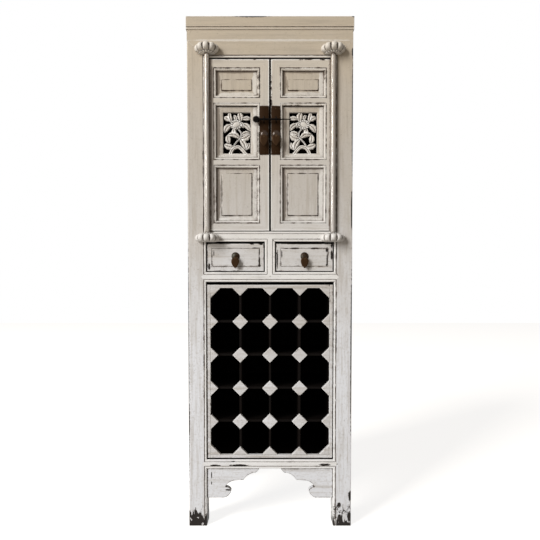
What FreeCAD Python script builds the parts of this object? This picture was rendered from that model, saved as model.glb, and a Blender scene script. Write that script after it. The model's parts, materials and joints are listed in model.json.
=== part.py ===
import FreeCAD, Part
import math
import os

# Tall painted cabinet: two pivot-hung doors, two drawers and a bottle rack on four legs.
# Millimetres. X runs across the front, Y runs from the front to the back and Z is up.
# The model is drawn with the front of the posts at Y = 0 and moved back at the end.

# Carcass, from the floor up
LEG_HEIGHT = 207.0
BOTTOM_RAIL_HEIGHT = 33.0
RACK_OPENING_HEIGHT = 634.0
LOW_RAIL_HEIGHT = 35.0
DRAWER_OPENING_HEIGHT = 107.0
MID_RAIL_HEIGHT = 36.0
DOOR_OPENING_HEIGHT = 603.0
TOP_RAIL_HEIGHT = 59.0
FRIEZE_HEIGHT = 36.0
CORNICE_HEIGHT = 45.0

# Carcass, across and front to back
WIDTH = 580.0
DEPTH = 400.0
POST_WIDTH = 64.0
POST_DEPTH = 60.0
RAIL_DEPTH = 32.0
SHOULDER_DEPTH = 14.0
TENON_LENGTH = 30.0
TENON_THICKNESS = 10.0
MULLION_WIDTH = 36.0
SIDE_RAIL_THICKNESS = 25.0
SIDE_RAIL_INSET = 2.0
SIDE_PANEL_THICKNESS = 10.0
PANEL_GROOVE = 8.0
BOARD_THICKNESS = 12.0
SHELF_RISE = 293.0
CLEAT_SIZE = 18.0
FRIEZE_THICKNESS = 20.0
CORNICE_OVERHANG = 3.0
CORNICE_MEMBER = 70.0
TOP_PANEL_THICKNESS = 18.0
TOP_PANEL_TONGUE = 9.0
CORNICE_BEAD = 7.0

# Quirk bead that runs round every opening of the front
BEAD_WIDTH = 7.8
BEAD_ROUND = 2.6
QUIRK_WIDTH = 1.4
QUIRK_DEPTH = 1.6

# Apron spandrels under the bottom rail
APRON_SETBACK = 5.0
APRON_THICKNESS = 18.0
APRON_REACH = 188.0
APRON_DROP = 107.0
# Corners of its outline as shares of reach and drop, each with the bulge of the edge that leads to it
APRON_OUTLINE = [
    (0.0, 1.0, 0.0), (0.33, 1.0, 0.0), (0.463, 0.757, 0.15), (0.346, 0.636, 0.16), (0.553, 0.416, -0.14),
    (0.697, 0.402, 0.0), (0.926, 0.154, -0.13), (1.0, 0.0, 0.07), (0.0, 0.0, 0.0),
]

# Doors
DOOR_MEETING_GAP = 7.0
DOOR_SIDE_GAP = 4.0
DOOR_TOP_GAP = 8.0
DOOR_BOTTOM_GAP = 2.0
DOOR_PROUD = 3.5
DOOR_THICKNESS = 22.0
MEETING_STILE = 32.0
HINGE_STILE = 25.0
DOOR_TOP_RAIL = 29.0
DOOR_MID_RAIL = 18.0
DOOR_BOTTOM_RAIL = 26.0
TOP_PANEL_OPENING = 103.0
CARVED_PANEL_OPENING = 196.5
PANEL_BEAD_WIDTH = 8.5
PANEL_BEAD_ROUND = 5.0
PANEL_SETBACK = 9.0
PANEL_THICKNESS = 8.0
DOOR_GROOVE = 6.0
FIELD_INSET = 19.0
TOP_FIELD_DROP = 10.0
FIELD_RAISE = 3.0
FIELD_BEVEL = 2.5

# Pierced carving in the middle panel of each door
CARVED_SETBACK = 7.0
WINDOW_SIDE_MARGIN = 24.0
WINDOW_END_MARGIN = 18.5
WINDOW_DROP = 2.7
CARVING_DEPTH = 8.0
# In the carving, places are shares of the window's width and height from its middle,
# and sizes are shares of the square root of its area
FLOWER_CENTRE = (0.03, 0.20)
FLOWER_HEART = 0.11
PETAL_COUNT = 8
PETAL_LENGTH = 0.21
PETAL_WIDTH = 0.15
# Leaves: foot, tip and width
LEAVES = [
    ((0.0, 0.27), (-0.15, 0.49), 0.18), ((0.05, 0.27), (0.10, 0.46), 0.11),
    ((0.15, 0.23), (0.29, 0.52), 0.12), ((0.20, 0.27), (0.51, 0.38), 0.14),
    ((-0.08, 0.32), (-0.52, 0.39), 0.13), ((0.14, 0.21), (0.46, 0.01), 0.17),
    ((-0.10, 0.21), (-0.52, 0.06), 0.18), ((0.11, 0.16), (0.17, -0.06), 0.14),
    ((-0.12, -0.10), (0.37, -0.10), 0.19), ((0.26, -0.08), (0.38, -0.27), 0.16),
    ((0.10, -0.38), (0.47, -0.27), 0.18), ((-0.12, -0.11), (-0.38, 0.05), 0.13),
    ((-0.14, -0.17), (-0.52, -0.03), 0.16), ((-0.12, -0.13), (-0.33, -0.43), 0.20),
    ((-0.30, -0.40), (-0.52, -0.23), 0.13),
]
# Stems and the arched root: both ends, bulge of the line between them and width
STEMS = [
    ((-0.02, 0.12), (-0.12, -0.18), -0.16, 0.045), ((-0.14, -0.16), (0.15, -0.39), 0.16, 0.045),
    ((0.19, -0.52), (-0.28, -0.52), -0.42, 0.12),
]

# Pivot poles of the doors and the lobed brackets that they turn in
POLE_DIAMETER = 17.0
POLE_LAP = 2.0
POLE_GAP = 0.5
PIVOT_DIAMETER = 9.0
PIVOT_LENGTH = 14.0
PIVOT_CLEARANCE = 0.05
POLE_END_GAP = 0.4
BRACKET_RADIUS = 44.0
BRACKET_HEIGHT = 30.0
BRACKET_COLLAR = 8.0
BRACKET_LOBES = 5
COLLAR_LOBES = 7
LOBE_DEPTH = 7.0
# Swell of the cushion and of its collar: share of the height and share of the radius
CUSHION_SWELL = [(0.0, 0.78), (0.22, 0.95), (0.5, 1.0), (0.8, 0.93), (1.0, 0.72)]
COLLAR_SWELL = [(0.0, 0.58), (0.6, 0.74), (1.0, 0.72)]
UPPER_BRACKET_LIFT = 9.0
LOWER_BRACKET_DROP = 8.0

# Lock plates, staples and the pin through them
PLATE_GAP = 9.0
PLATE_WIDTH = 31.0
PLATE_HEIGHT = 168.0
PLATE_LIFT = 3.5
PLATE_THICKNESS = 2.0
STAPLE_X = 21.0
STAPLE_ROD = 4.0
STAPLE_RADIUS = 8.5
PIN_RISE = 117.5
PIN_FORWARD = 11.5
PIN_DIAMETER = 7.0
PIN_HEAD_DIAMETER = 22.0
PIN_HEAD_START = 37.0
PIN_POINT_REACH = 73.0
PIN_POINT_DIAMETER = 2.4
PIN_HALF_GAP = 0.5
PIN_HEAD_SIDES = 8
# Facets of the pin's head: share of its length and share of its radius
PIN_HEAD_SHAPE = [(0.0, 0.5), (0.3, 1.0), (0.7, 1.0), (1.0, 0.5)]

# Leaf-shaped drop pulls on round bosses
BOSS_DIAMETER = 28.0
BOSS_HEIGHT = 7.0
BOSS_BASE = 1.5
PULL_PIN_DIAMETER = 3.0
PULL_PIN_CLEARANCE = 0.05
PULL_PIN_DROP = 7.0
PULL_PIN_FORWARD = 9.5
PULL_EYE_DIAMETER = 6.5
PULL_EYE_WIDTH = 9.0
PULL_EYE_ROOM = 1.0
PULL_LUG_DIAMETER = 6.0
PULL_LUG_THICKNESS = 2.5
PULL_LUG_GAP = 0.5
LEAF_WIDTH = 28.0
LEAF_LENGTH = 36.0
LEAF_THICKNESS = 2.5
LEAF_FORWARD = 3.4
# Half of the leaf's outline as shares of half its width and of its length, with the bulge of each edge
LEAF_OUTLINE = [(0.0, 0.055, 0.0), (0.82, 0.083, -0.19), (0.86, 0.5, -0.15), (0.0, 1.0, -0.04)]
DOOR_BOSS_RISE = 70.0
DRAWER_BOSS_RISE = 4.0

# Drawers
DRAWER_SIDE_GAP = 4.0
DRAWER_TOP_GAP = 7.0
DRAWER_BOTTOM_GAP = 3.5
DRAWER_RUN_GAP = 0.3
DRAWER_SETBACK = 5.0
DRAWER_FRONT_THICKNESS = 20.0
DRAWER_FIELD_INSET = 15.5
DRAWER_FIELD_LINE = 2.0
DRAWER_BACK_SPACE = 48.0
DRAWER_BOX_TOP_GAP = 28.7
DRAWER_SIDE = 10.0
DRAWER_BOTTOM = 6.0
GUIDE_WIDTH = 20.0
GUIDE_HEIGHT = 22.0

# Bottle rack
RACK_SETBACK = 5.0
RACK_FRAME_THICKNESS = 14.0
RACK_FRAME_WIDTH = 11.5
RACK_SIDE_GAP = 2.5
RACK_TOP_GAP = 10.0
RACK_BOTTOM_GAP = 4.0
RACK_COLUMNS = 4
RACK_ROWS = 5
RACK_BOARD = 8.0
RACK_BACK_SPACE = 54.0
DIAMOND_SIZE = 55.0
CORNER_LEG = 36.0

# Levels and places worked out from the sizes above
LOW_Z = LEG_HEIGHT
RACK_Z0 = LOW_Z + BOTTOM_RAIL_HEIGHT
RACK_Z1 = RACK_Z0 + RACK_OPENING_HEIGHT
DRAWER_Z0 = RACK_Z1 + LOW_RAIL_HEIGHT
DRAWER_Z1 = DRAWER_Z0 + DRAWER_OPENING_HEIGHT
DOOR_Z0 = DRAWER_Z1 + MID_RAIL_HEIGHT
DOOR_Z1 = DOOR_Z0 + DOOR_OPENING_HEIGHT
FRAME_Z1 = DOOR_Z1 + TOP_RAIL_HEIGHT
FRIEZE_Z1 = FRAME_Z1 + FRIEZE_HEIGHT
TOP_Z = FRIEZE_Z1 + CORNICE_HEIGHT
HALF = WIDTH / 2
INNER = HALF - POST_WIDTH
RAIL_LEVELS = [(LOW_Z, RACK_Z0), (RACK_Z1, DRAWER_Z0), (DRAWER_Z1, DOOR_Z0), (DOOR_Z1, FRAME_Z1)]
POLE_X = INNER + POLE_LAP - POLE_DIAMETER / 2
POLE_Y = -POLE_GAP - POLE_DIAMETER / 2
LEAF_FRONT = -DOOR_PROUD
LEAF_BACK = DOOR_THICKNESS - DOOR_PROUD
PLATE_FRONT = LEAF_FRONT - PLATE_THICKNESS
CARVED_MIDDLE = (DOOR_Z1 - DOOR_TOP_GAP - DOOR_TOP_RAIL - TOP_PANEL_OPENING - DOOR_MID_RAIL
                 - CARVED_PANEL_OPENING / 2)
PLATE_Z0 = CARVED_MIDDLE + PLATE_LIFT - PLATE_HEIGHT / 2
PIN_Y = PLATE_FRONT - PIN_FORWARD
PIN_Z = PLATE_Z0 + PIN_RISE
REAR_Y = DEPTH - SIDE_RAIL_INSET - SIDE_RAIL_THICKNESS
BODY_SHIFT = (BRACKET_RADIUS - DEPTH) / 2

# Edges are found by their place to within this distance
NEAR = 0.01

os.makedirs("parts", exist_ok=True)


def vec(x, y, z):
    return FreeCAD.Vector(x, y, z)


def box(x0, x1, y0, y1, z0, z1):
    return Part.makeBox(x1 - x0, y1 - y0, z1 - z0, vec(x0, y0, z0))


def extrude_back(wire, y0, y1):
    """A solid from a closed wire drawn in the XZ plane, between two depths."""
    face = Part.Face(wire)
    face.translate(vec(0, y0, 0))
    return face.extrude(vec(0, y1 - y0, 0))


def prism(points, y0, y1):
    corners = [vec(x, 0, z) for x, z in points]
    return extrude_back(Part.makePolygon(corners + corners[:1]), y0, y1)


def bulged_edges(corners):
    """Edges between corners given across and down; a corner's bulge bends the edge that leads to it."""
    edges = []
    for (x0, d0, _), (x1, d1, bulge) in zip(corners, corners[1:]):
        start = vec(x0, 0, -d0)
        end = vec(x1, 0, -d1)
        if bulge:
            middle = vec((x0 + x1) / 2 - bulge * (d1 - d0), 0, -(d0 + d1) / 2 - bulge * (x1 - x0))
            edges.append(Part.Arc(start, middle, end).toShape())
        else:
            edges.append(Part.LineSegment(start, end).toShape())
    return edges


def bar(diameter, start, length, direction):
    return Part.makeCylinder(diameter / 2, length, start, direction)


def mirrored(shape):
    return shape.mirror(vec(0, 0, 0), vec(1, 0, 0))


def cut_all(shape, tools):
    for tool in tools:
        shape = shape.cut(tool)
    return shape


def save(name, *pieces):
    """Writes one node, whose pieces stay separate solids."""
    solids = []
    for piece in pieces:
        solids += piece.copy().Solids
    shape = solids[0] if len(solids) == 1 else Part.makeCompound(solids)
    shape.translate(vec(0, BODY_SHIFT, 0))
    shape.exportStep("parts/%s.step" % name)


def opening_edges(shape, opening, y):
    """The front edges of a rectangular opening in a flat frame."""
    x0, x1, z0, z1 = opening
    found = []
    for edge in shape.Edges:
        b = edge.BoundBox
        on_front = abs(b.YMin - y) < NEAR and abs(b.YMax - y) < NEAR
        inside_x = b.XMin > x0 - NEAR and b.XMax < x1 + NEAR
        inside_z = b.ZMin > z0 - NEAR and b.ZMax < z1 + NEAR
        if on_front and inside_x and inside_z:
            found.append(edge)
    return found


def quirk(opening, offset, y):
    """The narrow groove that sets a bead apart from the flat face beside it."""
    x0, x1, z0, z1 = opening
    outer = offset + QUIRK_WIDTH
    ring = box(x0 - outer, x1 + outer, y, y + QUIRK_DEPTH, z0 - outer, z1 + outer)
    return ring.cut(box(x0 - offset, x1 + offset, y, y + QUIRK_DEPTH, z0 - offset, z1 + offset))


# Front frame
def front_openings():
    half_mullion = MULLION_WIDTH / 2
    return {
        "legs": (-INNER, INNER, -LEG_HEIGHT, LOW_Z),
        "rack": (-INNER, INNER, RACK_Z0, RACK_Z1),
        "drawer_left": (-INNER, -half_mullion, DRAWER_Z0, DRAWER_Z1),
        "drawer_right": (half_mullion, INNER, DRAWER_Z0, DRAWER_Z1),
        "doors": (-INNER, INNER, DOOR_Z0, DOOR_Z1),
    }


def front_face():
    """The moulded front layer of posts and rails, before it is divided along the joints."""
    face = box(-HALF, HALF, 0, SHOULDER_DEPTH, 0, FRAME_Z1)
    for x0, x1, z0, z1 in front_openings().values():
        face = face.cut(box(x0, x1, 0, SHOULDER_DEPTH, z0, z1))
    edges = []
    for opening in front_openings().values():
        edges += opening_edges(face, opening, 0)
    face = face.makeFillet(BEAD_ROUND, edges)
    return cut_all(face, [quirk(opening, BEAD_WIDTH, 0) for opening in front_openings().values()])


def rail_outline(z0, z1):
    """A rail seen from the front: bead mitres at its corners and a pointed shoulder at each end."""
    point = (z1 - z0) / 2 - BEAD_WIDTH
    right = [
        (INNER, z0),
        (INNER + BEAD_WIDTH, z0 + BEAD_WIDTH),
        (INNER + BEAD_WIDTH + point, (z0 + z1) / 2),
        (INNER + BEAD_WIDTH, z1 - BEAD_WIDTH),
        (INNER, z1),
    ]
    return right + [(-x, z) for x, z in reversed(right)]


def top_rail_outline():
    """The top rail meets the posts in mitres that run on from the corners of the bead."""
    corner = BEAD_WIDTH + QUIRK_WIDTH
    right = [(INNER, DOOR_Z1), (INNER + corner, DOOR_Z1 + corner), (HALF, FRAME_Z1)]
    return right + [(-x, z) for x, z in reversed(right)]


def mullion_outline():
    half = MULLION_WIDTH / 2
    upper = [(half, DRAWER_Z1), (half - BEAD_WIDTH, DRAWER_Z1 + BEAD_WIDTH), (0, DRAWER_Z1 + half)]
    lower = [(0, DRAWER_Z0 - half), (half - BEAD_WIDTH, DRAWER_Z0 - BEAD_WIDTH), (half, DRAWER_Z0)]
    right = lower + upper
    return right + [(-x, z) for x, z in reversed(right) if x > 0]


def cross_rail(z0, z1, y0, y1):
    """The plain part of a rail between the posts, with a tenon at each end."""
    middle = (y0 + y1) / 2
    rail = box(-INNER, INNER, y0, y1, z0, z1)
    tenon = box(-INNER - TENON_LENGTH, INNER + TENON_LENGTH, middle - TENON_THICKNESS / 2,
                middle + TENON_THICKNESS / 2, z0 + BEAD_WIDTH, z1 - BEAD_WIDTH)
    return rail.fuse(tenon)


def front_rails(face):
    """Bottom, low, mid and top rail and the mullion between the drawers."""
    mullion_face = prism(mullion_outline(), 0, SHOULDER_DEPTH)
    rails = []
    for z0, z1 in RAIL_LEVELS:
        outline = top_rail_outline() if z1 == FRAME_Z1 else rail_outline(z0, z1)
        front = face.common(prism(outline, 0, SHOULDER_DEPTH)).cut(mullion_face)
        rails.append(front.fuse(cross_rail(z0, z1, SHOULDER_DEPTH, RAIL_DEPTH)).removeSplitter())
    half = MULLION_WIDTH / 2
    back = box(-half, half, SHOULDER_DEPTH, RAIL_DEPTH, DRAWER_Z0, DRAWER_Z1)
    mullion = face.common(mullion_face).fuse(back).removeSplitter()
    return rails, mullion


def side_rails():
    """The rails between front and rear post of the right side, at the levels of the front rails."""
    x1 = HALF - SIDE_RAIL_INSET
    x0 = x1 - SIDE_RAIL_THICKNESS
    middle = (x0 + x1) / 2
    rails = []
    for z0, z1 in RAIL_LEVELS:
        rail = box(x0, x1, POST_DEPTH, DEPTH - POST_DEPTH, z0, z1)
        tenon = box(middle - TENON_THICKNESS / 2, middle + TENON_THICKNESS / 2, POST_DEPTH - TENON_LENGTH / 2,
                    DEPTH - POST_DEPTH + TENON_LENGTH / 2, z0 + BEAD_WIDTH, z1 - BEAD_WIDTH)
        rails.append(rail.fuse(tenon))
    return rails


def side_panels():
    x0 = HALF - SIDE_RAIL_INSET - SIDE_RAIL_THICKNESS / 2 - SIDE_PANEL_THICKNESS / 2
    panels = []
    for (_, z0), (z1, _) in zip(RAIL_LEVELS, RAIL_LEVELS[1:]):
        panels.append(box(x0, x0 + SIDE_PANEL_THICKNESS, POST_DEPTH - PANEL_GROOVE,
                          DEPTH - POST_DEPTH + PANEL_GROOVE, z0 - PANEL_GROOVE, z1 + PANEL_GROOVE))
    return panels


def back_rails():
    y1 = DEPTH - SIDE_RAIL_INSET
    return [cross_rail(z0, z1, y1 - SIDE_RAIL_THICKNESS, y1) for z0, z1 in RAIL_LEVELS]


def back_panels():
    y0 = DEPTH - SIDE_RAIL_INSET - SIDE_RAIL_THICKNESS / 2 - SIDE_PANEL_THICKNESS / 2
    panels = []
    for (_, z0), (z1, _) in zip(RAIL_LEVELS, RAIL_LEVELS[1:]):
        panels.append(box(-INNER - PANEL_GROOVE, INNER + PANEL_GROOVE, y0, y0 + SIDE_PANEL_THICKNESS,
                          z0 - PANEL_GROOVE, z1 + PANEL_GROOVE))
    return panels


def build_carcass():
    face = front_face()
    rails, mullion = front_rails(face)
    right_rails = side_rails()
    right_panels = side_panels()
    rear_rails = back_rails()
    rear_panels = back_panels()
    right_front = face.common(box(INNER, HALF, 0, SHOULDER_DEPTH, 0, FRAME_Z1))
    right_front = right_front.fuse(box(INNER, HALF, SHOULDER_DEPTH, POST_DEPTH, 0, FRAME_Z1)).removeSplitter()
    right_front = cut_all(right_front, rails + right_rails + right_panels)
    right_rear = box(INNER, HALF, DEPTH - POST_DEPTH, DEPTH, 0, FRAME_Z1)
    right_rear = cut_all(right_rear, right_rails + right_panels + rear_rails + rear_panels)
    posts = [right_front, right_rear, mirrored(right_front), mirrored(right_rear)]
    right_rails = [cut_all(rail, right_panels) for rail in right_rails]
    rear_rails = [cut_all(rail, rear_panels) for rail in rear_rails]

    save("right_front_post", right_front)
    save("left_front_post", mirrored(right_front))
    save("right_rear_post", right_rear)
    save("left_rear_post", mirrored(right_rear))
    for name, rail in zip(["bottom_rail", "low_rail", "mid_rail", "top_rail"], rails):
        save(name, rail)
    save("drawer_mullion", mullion)
    save("right_side_rails", *right_rails)
    save("left_side_rails", *[mirrored(rail) for rail in right_rails])
    save("side_panels", *right_panels, *[mirrored(panel) for panel in right_panels])
    save("back_rails", *rear_rails)
    save("back_panels", *rear_panels)
    return posts


def build_boards(posts):
    """The floors of cupboard, drawers and rack, and the cupboard's shelf on its two cleats."""
    x1 = HALF - SIDE_RAIL_INSET - SIDE_RAIL_THICKNESS
    for name, z1 in [("rack_floor", RACK_Z0), ("drawer_floor", DRAWER_Z0), ("cupboard_floor", DOOR_Z0)]:
        save(name, cut_all(box(-x1, x1, RAIL_DEPTH, REAR_Y, z1 - BOARD_THICKNESS, z1), posts))
    panel_x = HALF - SIDE_RAIL_INSET - SIDE_RAIL_THICKNESS / 2 - SIDE_PANEL_THICKNESS / 2
    y0 = POST_DEPTH
    y1 = DEPTH - POST_DEPTH
    shelf_z = DOOR_Z0 + SHELF_RISE
    shelf = box(-panel_x, panel_x, y0, y1, shelf_z, shelf_z + BOARD_THICKNESS)
    cleat = box(panel_x - CLEAT_SIZE, panel_x, y0, y1, shelf_z - CLEAT_SIZE, shelf_z)
    save("cupboard_shelf", shelf, cleat, mirrored(cleat))


# Frieze and cornice
def build_top():
    t = FRIEZE_THICKNESS
    side = box(HALF - t, HALF, t, DEPTH - t, FRAME_Z1, FRIEZE_Z1)
    front = box(-HALF, HALF, 0, t, FRAME_Z1, FRIEZE_Z1)
    back = box(-HALF, HALF, DEPTH - t, DEPTH, FRAME_Z1, FRIEZE_Z1)
    save("frieze_boards", front, back, side, mirrored(side))

    x = HALF + CORNICE_OVERHANG
    y0 = -CORNICE_OVERHANG
    y1 = DEPTH
    inner_x = x - CORNICE_MEMBER
    inner_y0 = y0 + CORNICE_MEMBER
    inner_y1 = y1 - CORNICE_MEMBER
    hole = box(-inner_x, inner_x, inner_y0, inner_y1, FRIEZE_Z1, TOP_Z)
    ring = box(-x, x, y0, y1, FRIEZE_Z1, TOP_Z).cut(hole)
    bead_top = FRIEZE_Z1 + CORNICE_BEAD
    groove = box(-x, x, y0, y1, bead_top, bead_top + QUIRK_WIDTH * 2)
    groove = groove.cut(box(-x + QUIRK_DEPTH, x - QUIRK_DEPTH, y0 + QUIRK_DEPTH, y1 - QUIRK_DEPTH,
                            bead_top, bead_top + QUIRK_WIDTH * 2))
    ring = ring.cut(groove)
    g = PANEL_GROOVE
    tongue_z1 = TOP_Z - TOP_PANEL_TONGUE
    panel = box(-inner_x, inner_x, inner_y0, inner_y1, TOP_Z - TOP_PANEL_THICKNESS, TOP_Z)
    panel = panel.fuse(box(-inner_x - g, inner_x + g, inner_y0 - g, inner_y1 + g,
                           TOP_Z - TOP_PANEL_THICKNESS, tongue_z1)).removeSplitter()
    ring = ring.cut(panel)
    corners = [(-x, y0), (x, y0), (x, y1), (-x, y1)]
    inner_corners = [(-inner_x, inner_y0), (inner_x, inner_y0), (inner_x, inner_y1), (-inner_x, inner_y1)]
    members = []
    for i in range(4):
        j = (i + 1) % 4
        outline = [corners[i], corners[j], inner_corners[j], inner_corners[i], corners[i]]
        wedge = Part.Face(Part.makePolygon([vec(px, py, FRIEZE_Z1) for px, py in outline]))
        members.append(ring.common(wedge.extrude(vec(0, 0, CORNICE_HEIGHT))))
    save("cornice_frame", *members)
    save("top_panel", panel)


# Apron
def apron_spandrel():
    """The right-hand spandrel: a scrolled foot against the post and two cusps towards the middle."""
    corners = [(APRON_REACH * across, APRON_DROP * down, bulge) for across, down, bulge in APRON_OUTLINE]
    spandrel = extrude_back(Part.Wire(bulged_edges(corners + corners[:1])), APRON_SETBACK,
                            APRON_SETBACK + APRON_THICKNESS)
    spandrel = mirrored(spandrel)
    spandrel.translate(vec(INNER, 0, LOW_Z))
    return spandrel


def build_apron():
    spandrel = apron_spandrel()
    save("right_apron_spandrel", spandrel)
    save("left_apron_spandrel", mirrored(spandrel))


# Pivot brackets
def lobed_wire(radius, lobes, depth, z):
    """A half-round outline with scallops round its front, closed by a straight line behind the wall."""
    step = math.pi / lobes
    crest = radius
    valley = radius - depth
    points = []
    for i in range(lobes + 1):
        angle = math.pi + i * step
        points.append(vec(valley * math.cos(angle), valley * math.sin(angle), z))
    edges = []
    for i in range(lobes):
        angle = math.pi + (i + 0.5) * step
        top = vec(crest * math.cos(angle), crest * math.sin(angle), z)
        edges.append(Part.Arc(points[i], top, points[i + 1]).toShape())
    edges.append(Part.LineSegment(points[-1], points[0]).toShape())
    return Part.Wire(edges)


def bracket():
    """A lobed half-cushion with a smaller collar of petals below, standing on Z = 0 at the wall."""
    cushion_height = BRACKET_HEIGHT - BRACKET_COLLAR
    sections = []
    for share, size in CUSHION_SWELL:
        z = BRACKET_COLLAR + share * cushion_height
        sections.append(lobed_wire(BRACKET_RADIUS * size, BRACKET_LOBES, LOBE_DEPTH, z))
    cushion = Part.makeLoft(sections, True, False)
    sections = []
    for share, size in COLLAR_SWELL:
        z = share * BRACKET_COLLAR
        sections.append(lobed_wire(BRACKET_RADIUS * size, COLLAR_LOBES, LOBE_DEPTH / 2, z))
    collar = Part.makeLoft(sections, True, False)
    shape = cushion.fuse(collar)
    bore_diameter = PIVOT_DIAMETER + 2 * PIVOT_CLEARANCE
    bore = bar(bore_diameter, vec(0, POLE_Y, 0), PIVOT_LENGTH + POLE_END_GAP, vec(0, 0, 1))
    return shape.cut(bore)


def build_brackets():
    upper = bracket()
    upper.translate(vec(POLE_X, 0, DOOR_Z1 + UPPER_BRACKET_LIFT))
    lower = bracket().mirror(vec(0, 0, 0), vec(0, 0, 1))
    lower.translate(vec(POLE_X, 0, DOOR_Z0 - LOWER_BRACKET_DROP))
    save("right_upper_bracket", upper)
    save("left_upper_bracket", mirrored(upper))
    save("right_lower_bracket", lower)
    save("left_lower_bracket", mirrored(lower))


# Doors
def pole():
    z0 = DOOR_Z0 - LOWER_BRACKET_DROP + POLE_END_GAP
    z1 = DOOR_Z1 + UPPER_BRACKET_LIFT - POLE_END_GAP
    shaft = bar(POLE_DIAMETER, vec(POLE_X, POLE_Y, z0), z1 - z0, vec(0, 0, 1))
    reach = PIVOT_LENGTH - POLE_END_GAP
    pivots = bar(PIVOT_DIAMETER, vec(POLE_X, POLE_Y, z0 - reach), z1 - z0 + 2 * reach, vec(0, 0, 1))
    return shaft.fuse(pivots)


def door_layout():
    """Outer rectangle of the right leaf and the flat edges of its three openings, from the bottom up."""
    x0 = DOOR_MEETING_GAP / 2
    x1 = INNER - DOOR_SIDE_GAP
    z0 = DOOR_Z0 + DOOR_BOTTOM_GAP
    z1 = DOOR_Z1 - DOOR_TOP_GAP
    top = (z1 - DOOR_TOP_RAIL - TOP_PANEL_OPENING, z1 - DOOR_TOP_RAIL)
    carved = (top[0] - DOOR_MID_RAIL - CARVED_PANEL_OPENING, top[0] - DOOR_MID_RAIL)
    lower = (z0 + DOOR_BOTTOM_RAIL, carved[0] - DOOR_MID_RAIL)
    return (x0, x1, z0, z1), [lower, carved, top]


def panel_openings():
    """The clear openings inside the beads of the right leaf."""
    (x0, x1, _, _), heights = door_layout()
    b = PANEL_BEAD_WIDTH
    return [(x0 + MEETING_STILE + b, x1 - HINGE_STILE - b, z0 + b, z1 - b) for z0, z1 in heights]


def leaf_blank():
    """The moulded frame of the leaf, before it is divided along its mitres."""
    (x0, x1, z0, z1), _ = door_layout()
    blank = box(x0, x1, LEAF_FRONT, LEAF_BACK, z0, z1)
    edges = []
    for ox0, ox1, oz0, oz1 in panel_openings():
        blank = blank.cut(box(ox0, ox1, LEAF_FRONT, LEAF_BACK, oz0, oz1))
    for opening in panel_openings():
        edges += opening_edges(blank, opening, LEAF_FRONT)
    blank = blank.makeFillet(PANEL_BEAD_ROUND, edges)
    groove_offset = PANEL_BEAD_WIDTH - QUIRK_WIDTH
    return cut_all(blank, [quirk(opening, groove_offset, LEAF_FRONT) for opening in panel_openings()])


def leaf_outlines():
    """Front outlines of the two stiles and the four rails, which meet in mitres."""
    (x0, x1, z0, z1), heights = door_layout()
    xa = x0 + MEETING_STILE
    xb = x1 - HINGE_STILE
    b = PANEL_BEAD_WIDTH
    meeting = [(x0, z0), (x0, z1)]
    hinge = [(x1, z0), (x1, z1)]
    for low, high in reversed(heights):
        meeting += [(xa, high), (xa + b, high - b), (xa + b, low + b), (xa, low)]
        hinge += [(xb, high), (xb - b, high - b), (xb - b, low + b), (xb, low)]
    rails = []
    top = heights[-1][1]
    rails.append([(x0, z1), (x1, z1), (xb, top), (xb - b, top - b), (xa + b, top - b), (xa, top)])
    for (_, low), (high, _) in zip(heights, heights[1:]):
        rails.append([(xa, low), (xa, high), (xa + b, high + b), (xb - b, high + b),
                      (xb, high), (xb, low), (xb - b, low - b), (xa + b, low - b)])
    bottom = heights[0][0]
    rails.append([(x0, z0), (x1, z0), (xb, bottom), (xb - b, bottom + b), (xa + b, bottom + b), (xa, bottom)])
    return meeting, hinge, rails


def fielded_panel(opening, drop=0.0):
    """A flat panel let into the frame's groove, with a raised and bevelled field that may start lower down."""
    x0, x1, z0, z1 = opening
    g = DOOR_GROOVE
    front = LEAF_FRONT + PANEL_SETBACK
    panel = box(x0 - g, x1 + g, front, front + PANEL_THICKNESS, z0 - g, z1 + g)
    i = FIELD_INSET
    field = box(x0 + i, x1 - i, front - FIELD_RAISE, front, z0 + i, z1 - i - drop)
    edges = [e for e in field.Edges if abs(e.BoundBox.YMax - (front - FIELD_RAISE)) < NEAR]
    return panel.fuse(field.makeChamfer(FIELD_BEVEL, edges)).removeSplitter()


def leaf_shape(foot, tip, width):
    """A pointed leaf seen from the front: two arcs that meet at its foot and its tip."""
    along = tip - foot
    across = vec(-along.z, 0, along.x).normalize() * (width / 2)
    middle = (foot + tip) / 2
    one = Part.Arc(foot, middle + across, tip).toShape()
    other = Part.Arc(tip, middle - across, foot).toShape()
    return Part.Wire([one, other])


def stem_shape(start, end, bulge, width):
    """A curved stem seen from the front: a stretch of a ring whose line bulges off its chord."""
    chord = end - start
    rise = vec(-chord.z, 0, chord.x) * bulge
    radius = (chord.Length ** 2 / 4 + rise.Length ** 2) / (2 * rise.Length)
    crown = (start + end) / 2 + rise
    centre = crown - rise.normalize() * radius

    def at(point, offset):
        away = (point - centre).normalize()
        return centre + away * (radius + offset)

    half = width / 2
    edges = [
        Part.Arc(at(start, half), at(crown, half), at(end, half)).toShape(),
        Part.LineSegment(at(end, half), at(end, -half)).toShape(),
        Part.Arc(at(end, -half), at(crown, -half), at(start, -half)).toShape(),
        Part.LineSegment(at(start, -half), at(start, half)).toShape(),
    ]
    return Part.Wire(edges)


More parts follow.
